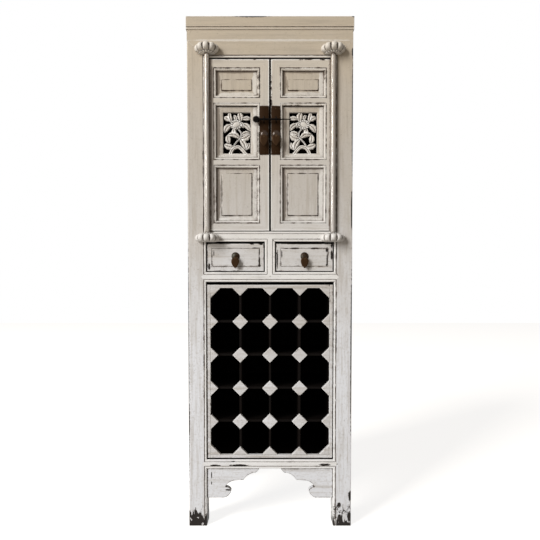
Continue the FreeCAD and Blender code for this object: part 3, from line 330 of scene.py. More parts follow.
def paint(name, grain, wear=0.5, rough=0.48, glaze_and_shade=(0.009, 0.13, 0.34), pale=0.0, edge_rub_and_highlight=0.6, near=0.0042,
          shine=0.25, dirt_and_shade=0.0, bead=0.0, marks=(), outlines=(), painted_shadows=(), lights=(),
          own=False, carved=False, feet=False, inside=False, cracks=False):
    """Old brushed paint: streaks along the grain, brown glazing with painted shade in the hollows, bare wood
    at edges where the paint wore through, and a painted highlight along the edges.

    wear says how much of the edges is bare; rub and near, how pale edges are and how far in from them,
    part rubbing and part painted highlight; pale, how much rubbing pales the faces; bead, a painted
    highlight on the bead beside the doors and a dark line in its groove, part grime and part painted
    shade; dirt, how thin and dark the paint is in runs, part grime and part painted shade; rough and
    shine, how it reflects. glaze is how far off the walls of a hollow may be, where the brown glazing and
    painted shade begin and where they are full. marks are bare spots; outlines are dark lines in the
    grooves and round the fields, part wear and part painted shade; stains are spots of painted shadow and
    lights are spots of painted highlight. own counts only the piece's own walls as hollows. The rest
    switch on what few pieces have: painted shade on a carved ground and on the flat beside it, lost paint
    at the feet, a bare inside that also paints the gaps round the doors and drawers dark as painted shade,
    cracks."""
    s = Surface(name)
    along = GRAIN_STRETCH[grain]
    streaks = s.noise(along, 5.0, 0.6)
    hairs = s.noise(scaled(along, 4.5), 3.0, 0.6, 3.0)
    runs = s.noise(tuple(2.0 + 0.25 * v for v in along), 4.0, 0.6, 17.0)
    clouds = s.noise(even(6.0), 3.0, 0.5, 7.0)
    patches = s.noise(even(45.0), 4.0, 0.6, 11.0)
    mottle = s.noise(even(160.0), 4.0, 0.65, 23.0)
    grit = s.noise(even(420.0), 2.0, 0.5, 2.0)
    edge = s.edges(near)

    # Painted shading: darker and warmer towards the top, paler and colder at the feet; thin where the brush left
    # streaks, and darker in runs, part grime and part painted shade
    height = s.total(s.z, s.about(clouds, 0.5, 0.5))
    colour = s.mix(s.step(height, 0.50, 1.30), PAINT_LOW, PAINT_MIDDLE)
    colour = s.mix(s.step(height, 1.15, 1.80), colour, PAINT_TOP)
    thin = [(streaks, 0.44, 0.72, 0.48), (hairs, 0.52, 0.72, 0.30), (mottle, 0.50, 0.72, 0.35)]
    if dirt_and_shade:
        thin.append((runs, 0.25, 0.55, dirt_and_shade))
    for pattern, begins, full, amount in thin:
        colour = s.mix(s.product(s.step(pattern, begins, full), amount), colour, PAINT_THIN_AND_SHADE)

    # Pale from rubbing, and painted highlight along edges, on the bead and in spots
    rubbed_and_highlight = s.product(s.step(edge, 0.12, 0.40), edge_rub_and_highlight)
    if pale:
        spread = s.product(s.step(clouds, 0.2, 0.5), pale)
        if carved:
            spread = s.product(spread, s.less(1.0, carved_flat(s)))
        rubbed_and_highlight = s.most(rubbed_and_highlight, spread)
    if lights:
        rubbed_and_highlight = s.most(rubbed_and_highlight, s.spots(lights, s.noise(even(50.0), 4.0, 0.6, 29.0), 0.5))
    if bead:
        on_bead = s.step(from_doors(s, grain), BEAD_WIDTH + 0.0004, BEAD_WIDTH - 0.0004)
        rubbed_and_highlight = s.most(rubbed_and_highlight, s.product(on_bead, s.step(runs, 0.2, 0.5), bead))
    colour = s.mix(rubbed_and_highlight, colour, PAINT_RUBBED_AND_HIGHLIGHT)

    # Brown glazing and painted shade in the hollows, and spots of painted shadow
    reach, begins, full = glaze_and_shade
    uneven = s.less(s.total(patches, runs, mottle), 1.5)
    hollow = s.total(s.hollows(reach, own), s.product(uneven, 0.42))
    dark = s.product(s.step(hollow, begins, full), 0.94)
    # On a carved panel: specks, painted shade on the carving's ground that deepens behind, and painted shade on
    # the flat near the walls of its recess
    if carved:
        dots = s.noise(even(240.0), 2.0, 0.5, 31.0)
        shut = s.total(s.hollows(0.018), s.product(uneven, 0.2))
        sunk = s.total(s.y, s.about(mottle, 0.5, 0.002))
        ground = s.step(sunk, FRONT + GROUND_DEPTH, FRONT + GROUND_DEPTH + GROUND_FADE)
        dark = s.most(dark, s.product(s.step(dots, 0.60, 0.68), 0.35), s.product(ground, 0.60),
                      s.product(s.step(shut, 0.06, 0.34), carved_flat(s), 0.6))
    if painted_shadows:
        dark = s.most(dark, s.spots(painted_shadows, s.noise((40.0, 40.0, 60.0), 4.0, 0.6, 19.0), 0.4))
    colour = s.mix(dark, colour, GLAZE_AND_SHADE_COLOUR)

    # Bare wood where the paint is lost, and painted shade as dark lines in grooves and round fields and in the
    # gaps inside
    chosen = s.total(s.product(runs, 1.6), s.product(patches, 0.6))
    chosen = s.step(chosen, 1.50 - 0.8 * wear, 1.66 - 0.8 * wear)
    torn = s.total(edge, s.about(s.total(patches, mottle), 1.0, 0.42))
    pits = s.product(s.step(grit, 0.67, 0.73), s.step(patches, 0.46, 0.60), 0.6)
    bare_and_shaded = s.most(s.product(s.step(torn, 0.20, 0.34), chosen), pits)
    if marks:
        ragged = s.noise((150.0, 150.0, 260.0), 4.0, 0.62, 5.0)
        bare_and_shaded = s.most(bare_and_shaded, s.spots([(*mark, 1.0) for mark in marks], ragged, 0.8))
    if bead:
        quirk = s.line(s.less(from_doors(s, grain), QUIRK_MIDDLE), s.about(patches, 0.34, 0.0066))
        bare_and_shaded = s.most(bare_and_shaded, s.product(quirk, s.step(s.y, FRONT + 0.0035, FRONT + 0.0025), 0.56))
    for rectangle, broken, darkness in outlines:
        lines = s.outline(rectangle, s.about(patches, broken, 0.0072))
        bare_and_shaded = s.most(bare_and_shaded, s.product(lines, darkness))
    if cracks:
        splits = s.noise((330.0, 330.0, 2.2), 3.0, 0.6, 21.0)
        bare_and_shaded = s.most(bare_and_shaded, s.product(s.step(splits, 0.60, 0.66), 0.8))
    if feet:
        bare_and_shaded = s.most(bare_and_shaded, foot_wear(s))
    if inside:
        bare_and_shaded = s.most(bare_and_shaded, s.product(interior(s), 0.97))
    colour = s.mix(s.step(bare_and_shaded, 0.0, 0.6), colour, GLAZE_AND_SHADE_COLOUR)
    colour = s.mix(s.step(bare_and_shaded, 0.45, 0.95), colour, BARE_WOOD_AND_SHADE)

    relief = s.less(s.total(s.product(streaks, 0.5), s.product(hairs, 0.3)), s.product(bare_and_shaded, 0.7))
    roughness = s.total(rough, s.about(clouds, 0.5, 0.25))
    return s.finish(colour, roughness, relief, 0.0007, shine)


def wood(name, grain, light_colour=DARK_WOOD_LIGHT):
    """Dark unpainted wood with open grain, near black inside as painted shade and brown on the outside
    of the back; edges paler in patches, part wear and part painted highlight.
    """
    s = Surface(name)
    along = GRAIN_STRETCH[grain]
    streaks = s.noise(along, 6.0, 0.65)
    pores = s.noise(scaled(along, 5.0), 3.0, 0.6, 4.0)
    clouds = s.noise(even(9.0), 3.0, 0.5, 6.0)
    light = s.product(s.step(s.total(streaks, s.product(clouds, 0.4)), 0.5, 0.95), 0.8)
    behind = s.step(s.y, BACK_OUTSIDE - 0.0005, BACK_OUTSIDE + 0.0005)
    colour = s.mix(light, DARK_WOOD_AND_SHADE, light_colour)
    colour = s.mix(behind, colour, s.mix(light, scaled(BACK_WOOD, 0.4), BACK_WOOD))
    rubbed_and_highlight = s.product(s.step(s.edges(0.002), 0.15, 0.4), s.step(clouds, 0.4, 0.6), 0.5)
    colour = s.mix(rubbed_and_highlight, colour, light_colour)
    relief = s.total(s.product(streaks, 0.4), s.product(pores, 0.5))
    roughness = s.total(0.6, s.product(pores, 0.2))
    return s.finish(colour, roughness, relief, 0.0006, 0.06)


def bronze(name, base, patina=0.0, rubbed_and_highlight=0.3, shine=0.05, roughness=0.5):
    """Dark bronze, bright on edges from wear and painted highlight, green in patches, dull in the hollows."""
    s = Surface(name)
    clouds = s.noise(even(60.0), 4.0, 0.6)
    grit = s.noise(even(700.0), 3.0, 0.6, 3.0)
    bright = s.product(s.step(s.edges(0.0016), 0.10, 0.40), s.step(clouds, 0.35, 0.6), rubbed_and_highlight)
    colour = s.mix(s.product(s.step(clouds, 0.42, 0.7), patina), base, BRONZE_PATINA)
    colour = s.mix(bright, colour, BRONZE_RUBBED_AND_HIGHLIGHT)
    colour = s.mix(s.step(s.hollows(0.004), 0.30, 0.85), colour, scaled(base, 0.3))
    relief = s.total(s.product(clouds, 0.5), s.product(grit, 0.35))
    dulled = s.total(roughness, s.about(clouds, 0.5, 0.3))
    return s.finish(colour, dulled, relief, 0.0003, shine, 0.2)


# Paint losses seen in the photo, on the front: middle and half size in X and Z, millimetres
RAIL_MARKS = [(-109, 218.4, 33, 4.2), (-195, 218.4, 20, 3.0), (-132, 232.5, 8, 2), (196, 221.3, 21, 4.6)]
APRON_MARKS = [(-209.4, 182, 1.8, 13), (-209.4, 153, 1.6, 6), (-150, 128, 10, 3)]
CORNICE_MARKS = [(-62, 1795.5, 64, 4.5), (290.5, 1794.5, 6, 4)]
POST_MARKS = [
    (286.5, 108, 6, 19), (247.5, 75, 7, 10), (284, 34, 8, 20), (250, 30, 7, 12), (266, 6, 26, 9),
    (288.5, 1126, 3.5, 70), (-289, 373, 3.5, 81), (289, 1672, 4.2, 17), (289, 1187, 3.4, 6),
    (288.5, 620, 3, 300), (289, 1450, 2.5, 200), (-289.3, 600, 2.6, 420),
]
DRAWER_MARKS = [
    (-63.5, 1008.5, 8, 3.0), (-33, 1008.5, 8, 4.0), (-19.5, 994, 2.8, 14), (-20, 960, 2.6, 14),
    (-20, 926, 2.6, 9), (-37.5, 948, 3.2, 20), (-37.2, 932, 5.0, 5.0), (-37.5, 980, 1.8, 14),
    (-52, 993.5, 14, 2.0), (-215, 928, 4.0, 12), (-120, 910.5, 100, 1.6), (201.5, 987, 4.6, 8.5),
    (202, 953, 2.0, 24), (201, 934, 3.4, 4.0), (90, 992.5, 16, 3.0), (158, 992.5, 16, 3.0),
    (56, 992.5, 11, 1.6), (218, 1003, 3.0, 9), (218, 970, 3.6, 16), (26, 955, 2.4, 34),
    (120, 1009, 95, 2.0), (130, 910.5, 90, 1.8), (-198.5, 975, 1.6, 10), (42, 972, 1.8, 13),
]
# The same with a strength: a painted highlight along the seam under the frieze, and the painted shadow of the left
# pole on the left door's hinge side
FRIEZE_LIGHTS = [(0, FRAME_TOP / MM, 300, 4.0, 0.36)]
DOOR_POLE_SHADOW = [(-200.5, 1347, 8.5, 360, 0.55)]

# Door panels, millimetres: their middle across, half width, and the low and high end of each
PANEL_ACROSS = 116.25
PANEL_HALF = 72.25
LOW_PANEL = (1088.5, 1274.0)
CARVED_PANEL = (1309.0, 1488.5)
HIGH_PANEL = (1523.5, 1609.5)
# The groove round a panel lies this far outside it, and the line round its field this far inside
QUIRK_OUT = 7.85
FIELD_IN = 19.0
FIELD_IN_TOP = 29.0

# Dark grooves round the panels, with how broken and how dark they are, part wear and part painted shade;
# painted shadow along the left side and the top of each panel, painted highlight on the other two
QUIRKS = []
PANEL_SHADOWS = []
PANEL_LIGHTS = []
for panel_low, panel_high in (LOW_PANEL, CARVED_PANEL, HIGH_PANEL):
    panel_middle = (panel_low + panel_high) / 2
    panel_rise = (panel_high - panel_low) / 2
    groove = (PANEL_ACROSS, panel_middle, PANEL_HALF + QUIRK_OUT, panel_rise + QUIRK_OUT)
    QUIRKS.append((groove, 0.33, 0.62))
    for panel_left in (-PANEL_ACROSS - PANEL_HALF, PANEL_ACROSS - PANEL_HALF):
        PANEL_SHADOWS.append((panel_left + 2, panel_middle, 13.5, 1.28 * panel_rise, 0.62))
        PANEL_SHADOWS.append((panel_left + 72, panel_high, 90, 7.0, 0.55))
        PANEL_LIGHTS.append((panel_left + 137, panel_middle, 11.0, 1.12 * panel_rise, 0.42))
        PANEL_LIGHTS.append((panel_left + 78, panel_low + 6, 74, 8.5, 0.36))

# Dark lines round the fields of the flat panels, part wear and part painted shade of their edges
FIELDS = []
for panel, top_margin, darkness in ((LOW_PANEL, FIELD_IN, 0.80), (HIGH_PANEL, FIELD_IN_TOP, 0.62)):
    field_low = panel[0] + FIELD_IN
    field_high = panel[1] - top_margin
    field = (PANEL_ACROSS, (field_low + field_high) / 2, PANEL_HALF - FIELD_IN, (field_high - field_low) / 2)
    FIELDS.append((field, 0.38, darkness))

PAINT_UP = paint("paint_upright", "z", 0.40, edge_rub_and_highlight=0.10, bead=0.6, marks=POST_MARKS, own=True, feet=True,
                 inside=True)
PAINT_ACROSS = paint("paint_across", "x", 0.40, pale=0.60, edge_rub_and_highlight=0.4, marks=RAIL_MARKS, own=True, inside=True)
PAINT_CORNICE = paint("paint_cornice", "x", 0.25, edge_rub_and_highlight=0.55, glaze_and_shade=(0.009, 0.10, 0.40), marks=CORNICE_MARKS,
                      own=True)
PAINT_FRIEZE = paint("paint_frieze", "x", 0.10, edge_rub_and_highlight=0.1, bead=0.5, lights=FRIEZE_LIGHTS, own=True,
                     inside=True)
PAINT_DEEP = paint("paint_side", "y", 0.4, own=True, inside=True)
PAINT_DOOR_UP = paint("paint_door_upright", "z", 0.36, pale=0.16, edge_rub_and_highlight=0.8, near=0.0075, outlines=QUIRKS,
                      painted_shadows=DOOR_POLE_SHADOW)
PAINT_DOOR_ACROSS = paint("paint_door_across", "x", 0.36, pale=0.16, edge_rub_and_highlight=0.8, near=0.0075, outlines=QUIRKS)
PAINT_FIELD = paint("paint_field", "z", 0.7, glaze_and_shade=(0.018, 0.12, 0.52), outlines=FIELDS,
                    painted_shadows=PANEL_SHADOWS, lights=PANEL_LIGHTS)
PAINT_POLE = paint("paint_pole", "z", 0.3, 0.17, (0.016, 0.11, 0.40), edge_rub_and_highlight=0.0, shine=1.0, dirt_and_shade=0.5,
                   cracks=True)
PAINT_BRACKET = paint("paint_bracket", "x", 0.1, 0.36, (0.012, 0.14, 0.44), 0.42, own=True)
PAINT_CARVING = paint("paint_carving", "z", 0.2, 0.45, (0.0035, 0.12, 0.44), 0.42, edge_rub_and_highlight=0.9, near=0.0028,
                      painted_shadows=PANEL_SHADOWS, lights=PANEL_LIGHTS, carved=True)
PAINT_DRAWER = paint("paint_drawer", "x", 0.62, glaze_and_shade=(0.007, 0.20, 0.55), marks=DRAWER_MARKS)
PAINT_RACK = paint("paint_rack", "x", 0.4, dirt_and_shade=0.35)
PAINT_APRON = paint("paint_apron", "x", 0.85, marks=APRON_MARKS)
WOOD_ACROSS = wood("wood_across", "x")
WOOD_SHELF = wood("wood_shelf", "x", DARK_WOOD_FAINT)
WOOD_DEEP = wood("wood_deep", "y")
WOOD_UP = wood("wood_upright", "z", DARK_WOOD_DIM)
BRONZE_FLAT = bronze("bronze_flat", BRONZE, 0.0, 0.25)
BRONZE_LEAF = bronze("bronze_leaf", BRONZE_WORN, 0.0, 0.6, 0.05, 0.34)
BRONZE_CAST = bronze("bronze_cast", BRONZE_WORN, 0.10, 0.3, 0.30, 0.22)
BRONZE_GREEN = bronze("bronze_green", BRONZE, 0.7, 0.4, 0.10, 0.35)
BRONZE_DARK = bronze("bronze_dark", BRONZE_BLACK, 0.0, 0.05, 0.05, 0.24)


def dress(name, bm, materials, slot, *nodes):
    """Makes a piece from a bmesh: it rides with the nodes that it stands for and hides them."""
    mesh = bpy.data.meshes.new(name)
    bm.to_mesh(mesh)
    bm.free()
    for material in materials:
        mesh.materials.append(material)
    mesh.shade_smooth()
    mesh.set_sharp_from_angle(angle=SHARP_SHADE)
    piece = bpy.data.objects.new(name, mesh)
    bpy.context.scene.collection.objects.link(piece)
    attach(piece, BODY_OF[nodes[0]])
    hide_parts(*nodes)
    return piece


def keep_flat(piece):
    """Shades the large faces of a piece as flat up to their rounded edges."""
    piece.modifiers.new("flat faces", "WEIGHTED_NORMAL").keep_sharp = True


def delete_buried(bm):
    """Deletes the faces that lie hidden between two boards: none of their edges is an edge of the outside."""
    buried = [face for face in bm.faces if not any(edge.is_manifold for edge in face.edges)]
    bmesh.ops.delete(bm, geom=buried, context="FACES")


def boards_of(bm):
    """The faces of each part of the mesh that hangs together by its edges."""
    left = {face: None for face in bm.faces}
    boards = []
    while left:
        waiting = [left.popitem()[0]]
        faces = []
        while waiting:
            face = waiting.pop()
            faces.append(face)
            for edge in face.edges:
                for other in edge.link_faces:
                    if other in left:
                        del left[other]
                        waiting.append(other)
        boards.append(faces)
    return boards


def welded(node):
    """The node's mesh with its flat faces whole again and each of its boards closed."""
    bm = bmesh.new()
    bm.from_mesh(NODES[node].data)
    bmesh.ops.remove_doubles(bm, verts=bm.verts, dist=WELD)
    bmesh.ops.dissolve_limit(bm, angle_limit=FLAT_JOINT, verts=bm.verts, edges=bm.edges)
    delete_buried(bm)
    bmesh.ops.split_edges(bm, edges=[edge for edge in bm.edges if len(edge.link_faces) > 2])
    for faces in boards_of(bm):
        apart = bmesh.ops.split(bm, geom=faces)["geom"]
        corners = [v for v in apart if isinstance(v, bmesh.types.BMVert)]
        bmesh.ops.remove_doubles(bm, verts=corners, dist=WELD)
    return bm


def mitre(face):
    """True for the face of a slanting joint between two boards of the front."""
    return abs(face.normal.x) > 0.3 and abs(face.normal.z) > 0.3 and abs(face.normal.y) < 0.1


def bevel(bm, edges, radius, segments):
    bmesh.ops.bevel(bm, geom=edges, offset=radius, offset_type="OFFSET", segments=segments, profile=0.5,
                    affect="EDGES", clamp_overlap=True)


def round_edges(bm, radius, broad=None, mitred=False):
    """Rounds the sharp outer edges: those that broad picks to its own radius, those at mitres hardly."""
    if broad:
        chosen, broad_radius = broad
        bevel(bm, [edge for edge in bm.edges if edge.is_manifold and chosen(edge)], broad_radius, 4)
    sharp = []
    closed = []
    for edge in bm.edges:
        if edge.is_manifold and edge.calc_face_angle_signed() > SHARP_EDGE:
            at_joint = mitred and any(mitre(face) for face in edge.link_faces)
            (closed if at_joint else sharp).append(edge)
    bevel(bm, sharp, radius, 2)
    bevel(bm, [edge for edge in closed if edge.is_valid], MITRE_ROUND, 2)


def soften(node, radius, material, slot, broad=None, mitred=False):
    """A piece with the node's shape and rounded edges."""
    bm = welded(node)
    round_edges(bm, radius, broad, mitred)
    keep_flat(dress("soft_" + node, bm, [material], slot, node))


def butt_levels(node):
    """Heights of the ends of the square joints between the node's boards and the ones beside them."""
    bm = welded(node)
    levels = set()
    for face in bm.faces:
        depths = [v.co.y for v in face.verts]
        if abs(face.normal.x) > 0.99 and max(depths) - min(depths) > JOINT_DEPTH:
            levels.update(round(v.co.z, 5) for v in face.verts)
    bm.free()
    return sorted(levels)


def glued(nodes):
    """The nodes' boards as one mesh without the hidden faces of their joints.

    Each board's faces have its number as their material."""
    levels = butt_levels(nodes[-1])
    whole = bmesh.new()
    for number, node in enumerate(nodes):
        bm = welded(node)
        bmesh.ops.delete(bm, geom=[face for face in bm.faces if mitre(face)], context="FACES")
        for level in levels:
            geom = bm.verts[:] + bm.edges[:] + bm.faces[:]
            bmesh.ops.bisect_plane(bm, geom=geom, dist=WELD, plane_co=(0, 0, level), plane_no=(0, 0, 1))
        for face in bm.faces:
            face.material_index = number
        board = bpy.data.meshes.new(node)
        bm.to_mesh(board)
        bm.free()
        whole.from_mesh(board)
        bpy.data.meshes.remove(board)
    bmesh.ops.remove_doubles(whole, verts=whole.verts, dist=GLUE)
    delete_buried(whole)
    bmesh.ops.holes_fill(whole, edges=[edge for edge in whole.edges if edge.is_boundary])
    bmesh.ops.dissolve_limit(whole, angle_limit=FLAT_JOINT, verts=whole.verts, edges=whole.edges,
                             delimit={"MATERIAL"})
    bmesh.ops.recalc_face_normals(whole, faces=whole.faces)
    return whole


def outer_corner(edge):
    """True for the upright outer edges of the posts."""
    one, other = (v.co for v in edge.verts)
    outside = min(abs(one.x), abs(other.x)) > OUTER - 1e-5
    upright = abs(one.z - other.z) > 0.01 and abs(one.x - other.x) < 1e-5
    return outside and upright and edge.calc_face_angle_signed() > SHARP_EDGE


def both(name):
    """The left and the right node of this name."""
    return ["left_" + name, "right_" + name]


# Carcass
for node in both("front_post") + both("rear_post"):
    soften(node, RAIL_ROUND, PAINT_UP, PAINTED, (outer_corner, POST_CORNER_ROUND), True)
soften("drawer_mullion", PANEL_ROUND, PAINT_UP, PAINTED, mitred=True)
for node in ["bottom_rail", "low_rail", "mid_rail"]:
    soften(node, RAIL_ROUND, PAINT_ACROSS, PAINTED, mitred=True)
for node in ["cornice_frame", "top_panel"]:
    soften(node, RAIL_ROUND, PAINT_CORNICE, PAINTED, mitred=True)
for node in ["top_rail", "frieze_boards"]:
    soften(node, FRIEZE_ROUND, PAINT_FRIEZE, PAINTED, mitred=True)
for node in both("side_rails"):
    soften(node, RAIL_ROUND, PAINT_DEEP, PAINTED)
soften("side_panels", PANEL_ROUND, PAINT_UP, PAINTED)
for node in both("apron_spandrel"):
    soften(node, APRON_ROUND, PAINT_APRON, PAINTED)
soften("rack_shelves", BOARD_ROUND, WOOD_SHELF, BARE)
for node in ["back_rails", "rack_floor", "drawer_floor", "cupboard_floor", "cupboard_shelf"]:
    soften(node, BOARD_ROUND, WOOD_ACROSS, BARE)
for node in ["back_panels", "rack_uprights"]:
    soften(node, BOARD_ROUND, WOOD_UP, BARE)
soften("drawer_guides", BOARD_ROUND, WOOD_DEEP, BARE)
soften("rack_frame", RAIL_ROUND, PAINT_RACK, PAINTED)
soften("rack_blocks", BLOCK_ROUND, PAINT_RACK, PAINTED)

# Doors and drawers
for side in ("left_", "right_"):
    boards = [side + "door_stiles", side + "door_rails"]
    door = glued(boards)
    round_edges(door, BOARD_ROUND)
    keep_flat(dress(side + "door_frame", door, [PAINT_DOOR_UP, PAINT_DOOR_ACROSS], PAINTED, *boards))
    soften(side + "flat_panels", PANEL_ROUND, PAINT_FIELD, PAINTED)
    soften(side + "drawer_front", RAIL_ROUND, PAINT_DRAWER, PAINTED)
    soften(side + "drawer_box", BOARD_ROUND, WOOD_DEEP, BARE)
    soften(side + "pivot_pole", BOARD_ROUND, PAINT_POLE, PAINTED)


def loft(bm, rings, close_ends=True):
    """Skins closed rings of equal length one after another, with a face on each end."""
    made = [[bm.verts.new(point) for point in ring] for ring in rings]
    for one, other in zip(made, made[1:]):
        for i in range(len(one)):
            j = (i + 1) % len(one)
            bm.faces.new((one[i], one[j], other[j], other[i]))
    if close_ends:
        bm.faces.new(made[0])
        bm.faces.new(reversed(made[-1]))
    return made


# Pierced carving. Places are millimetres across and up from the middle of the window of the left door.
WINDOW = (96.5, 142.5)
WINDOW_DROP = 2.7
WINDOW_POINTS = 14
BOARD = (144.5, 179.5)
# Depths behind the front of the posts
BOARD_FRONT = 3.5
BOARD_BACK = 13.5
CARVING_BACK = 11.5
CARVING_EDGE = 10.0
HEART_EDGE = 9.0
# How far crowns stand forward of their edges
LEAF_RISE = 4.6
STEM_RISE = 5.2
HEART_RISE = 4.4
# The board's inner edge: how far each step lies out from the window and behind the board's front
RIM_STEPS = [(2.2, 0.0), (0.7, 0.7), (0.0, 2.6)]
RIM_WOBBLE = 0.5
BOARD_CHAMFER = 0.6
# A carved band: points across it, how wide its groove is, and its back as a share of its width
BAND_STEPS = 18
GROOVE_WIDTH = 0.17
BACK_SHARE = 0.85
LEAF_STEPS = 32
LEAF_TEETH = 4.0
STEM_STEPS = 20
# Foot, tip, width, sideways bend and how far the leaf stands forward
LEAVES = [
    ((-19.6, 38.7), (-25.8, 72.3), 15, 0.06, 1.2), ((-23.5, 44.0), (-46.0, 54.2), 17, -0.10, 0.2),
    ((13.5, 43.0), (7.2, 72.0), 21, -0.06, 1.4), ((-2.7, 44.0), (-10.2, 63.0), 12, -0.08, 0.6),
    ((19.5, 49.5), (48.5, 51.1), 15, 0.06, 0.6), ((-21.5, 29.0), (-43.5, 3.5), 19, -0.12, 1.2),
    ((14.0, 38.5), (22.2, 18.7), 12, 0.08, 1.0), ((21.0, 33.0), (46.5, 9.0), 17, 0.12, 0.6),
    ((15.5, -6.5), (46.5, 0.5), 15, 0.10, 0.8), ((14.5, -20.5), (46.5, -4.5), 20, -0.10, 1.4),
    ((-12.7, 15.0), (-11.5, -6.5), 16, 0.06, 0.6), ((10.0, -16.5), (-31.5, -6.0), 18, -0.17, 1.5),
    ((-30.0, -6.0), (-26.5, -35.0), 18, -0.10, 0.8), ((-13.0, -49.0), (-44.0, -39.0), 20, 0.08, 1.0),
    ((12.0, -21.5), (31.5, -58.5), 19, 0.10, 1.2), ((33.0, -56.0), (42.5, -32.5), 14, -0.10, 0.3),
]
# The flower: its heart, and the ring of petals round it
HEART = (-2.1, 30.0)
HEART_SIZE = (14.3, 9.4)
HEART_TILT = math.radians(20.0)
HEART_RINGS = 8
HEART_SIDES = 28
PETAL_COUNT = 12
PETAL_FOOT = (11.2, 8.4)
PETAL_LENGTH = 10.0
PETAL_WIDTH = 10.5
# Stems: points that they pass through and their half width
STEMS = [
    ([(6, 13), (12.5, 5), (15, -3), (14.5, -12), (11.5, -20)], 2.3),
    ([(12.5, -17), (4, -24.5), (-5, -35), (-12, -47)], 2.4),
    ([(-24, -74), (-14.5, -55), (3.5, -47.5), (17, -55.5), (32, -74)], 6.0),
]


def along_curve(points, count):
    """Points evenly numbered along a smooth line through the given ones."""
    ends = [Vector(p) for p in points]
    ends = [2 * ends[0] - ends[1]] + ends + [2 * ends[-1] - ends[-2]]
    found = []
    for k in range(count + 1):
        place = (len(points) - 1) * k / count
        i = min(int(place), len(points) - 2)
        t = place - i
        a, b, c, d = ends[i:i + 4]
        found.append(0.5 * (2 * b + (c - a) * t + (2 * a - 5 * b + 4 * c - d) * t ** 2
                            + (3 * b - a - 3 * c + d) * t ** 3))
    return found


def ridge(bm, line, half_widths, levels, groove=0.0, veins=0.0):
    """A carved band along a line: rolled edges, a grooved spine, flat at the back.

    Levels are the depths of the back and of the edge and how far the crown stands forward of the edge."""
    back, edge, rise = levels
    rings = []
    last = len(line) - 1
    for k, point in enumerate(line):
        ahead = (line[min(k + 1, last)] - line[max(k - 1, 0)]).normalized()
        side = Vector((-ahead.y, ahead.x))
        half = half_widths[k]
        fullness = min(1.0, half / max(half_widths) + 0.2)
        ring = []
        for j in range(BAND_STEPS + 1):
            v = -1 + 2 * j / BAND_STEPS
            rolled = math.sqrt(max(0.0, 1 - v ** 6))
            face = 1 - groove * math.exp(-(v / GROOVE_WIDTH) ** 2)
            face += veins * math.sin(9.0 * k * math.pi / last + 2.5 * abs(v)) * (1 - v * v)
            place = point + side * (v * half)
            ring.append((place.x, edge - rise * rolled * face * fullness, place.y))
        for v in (BACK_SHARE, -BACK_SHARE):
            place = point + side * (v * half)
            ring.append((place.x, back, place.y))
        rings.append(ring)
    loft(bm, rings)


def leaf(bm, foot, tip, width, bend, forward):
    """A pointed leaf with a toothed edge, a grooved spine and veins."""
    foot = Vector(foot)
    tip = Vector(tip)
    across = tip - foot
    middle = (foot + tip) / 2 + Vector((-across.y, across.x)) * bend
    half_widths = []
    for k in range(LEAF_STEPS + 1):
        u = k / LEAF_STEPS
        swell = math.sin(math.pi * (0.06 + 0.90 * u)) ** 0.72
        tooth = (LEAF_TEETH * u) % 1.0
        half_widths.append(max(0.5, 0.54 * width * swell * (1.05 - 0.22 * tooth * tooth)))
    levels = (CARVING_BACK, CARVING_EDGE, LEAF_RISE + forward)
    ridge(bm, along_curve([foot, middle, tip], LEAF_STEPS), half_widths, levels, 0.50, 0.06)


def window_board(bm):
    """The board round the window, with a worn chamfer on its inner edge."""
    board = (BOARD[0] / 2, BOARD[1] / 2)
    hole = (WINDOW[0] / 2, WINDOW[1] / 2)
    levels = [(board, 0.0, BOARD_BACK), (board, 0.0, BOARD_FRONT + BOARD_CHAMFER)]
    levels.append((board, -BOARD_CHAMFER, BOARD_FRONT))
    levels.extend((hole, out, BOARD_FRONT + behind) for out, behind in RIM_STEPS)
    levels.append((hole, 0.0, BOARD_BACK))
    loops = []
    for (half_x, half_z), grow, y in levels:
        hx = half_x + grow
        hz = half_z + grow
        corners = [(-hx, -hz), (hx, -hz), (hx, hz), (-hx, hz)]
        loop = []
        for (x0, z0), (x1, z1) in zip(corners, corners[1:] + corners[:1]):
            for k in range(WINDOW_POINTS):
                t = k / WINDOW_POINTS
                loop.append((x0 + (x1 - x0) * t, y, z0 + (z1 - z0) * t))
        if (half_x, half_z) == hole:
            loop = [(x + RIM_WOBBLE * noise.noise((0.11 * x, 0.4 * y, 0.11 * z)), y,
                     z + RIM_WOBBLE * noise.noise((0.11 * z, 5 + 0.4 * y, 0.11 * x))) for x, y, z in loop]
        loops.append(loop)
    loft(bm, loops + loops[:1], close_ends=False)
    bmesh.ops.remove_doubles(bm, verts=bm.verts, dist=1e-5)


def flower_heart(bm):
    """A tilted oval dome with a rippled face."""
    turn_cos = math.cos(HEART_TILT)
    turn_sin = math.sin(HEART_TILT)
    rings = []
    for k in range(HEART_RINGS + 1):
        a = 0.5 * math.pi * k / HEART_RINGS
        ring = []
        for j in range(HEART_SIDES):
            b = 2 * math.pi * j / HEART_SIDES
            x = HEART_SIZE[0] * math.cos(a) * math.cos(b)
            z = HEART_SIZE[1] * math.cos(a) * math.sin(b)
            ripple = 0.25 * math.sin(6 * a) * math.cos(4 * b)
            ring.append((HEART[0] + x * turn_cos - z * turn_sin,
                         HEART_EDGE - HEART_RISE * math.sin(a) ** 0.6 - ripple,
                         HEART[1] + x * turn_sin + z * turn_cos))
        rings.append(ring)
    loft(bm, rings)


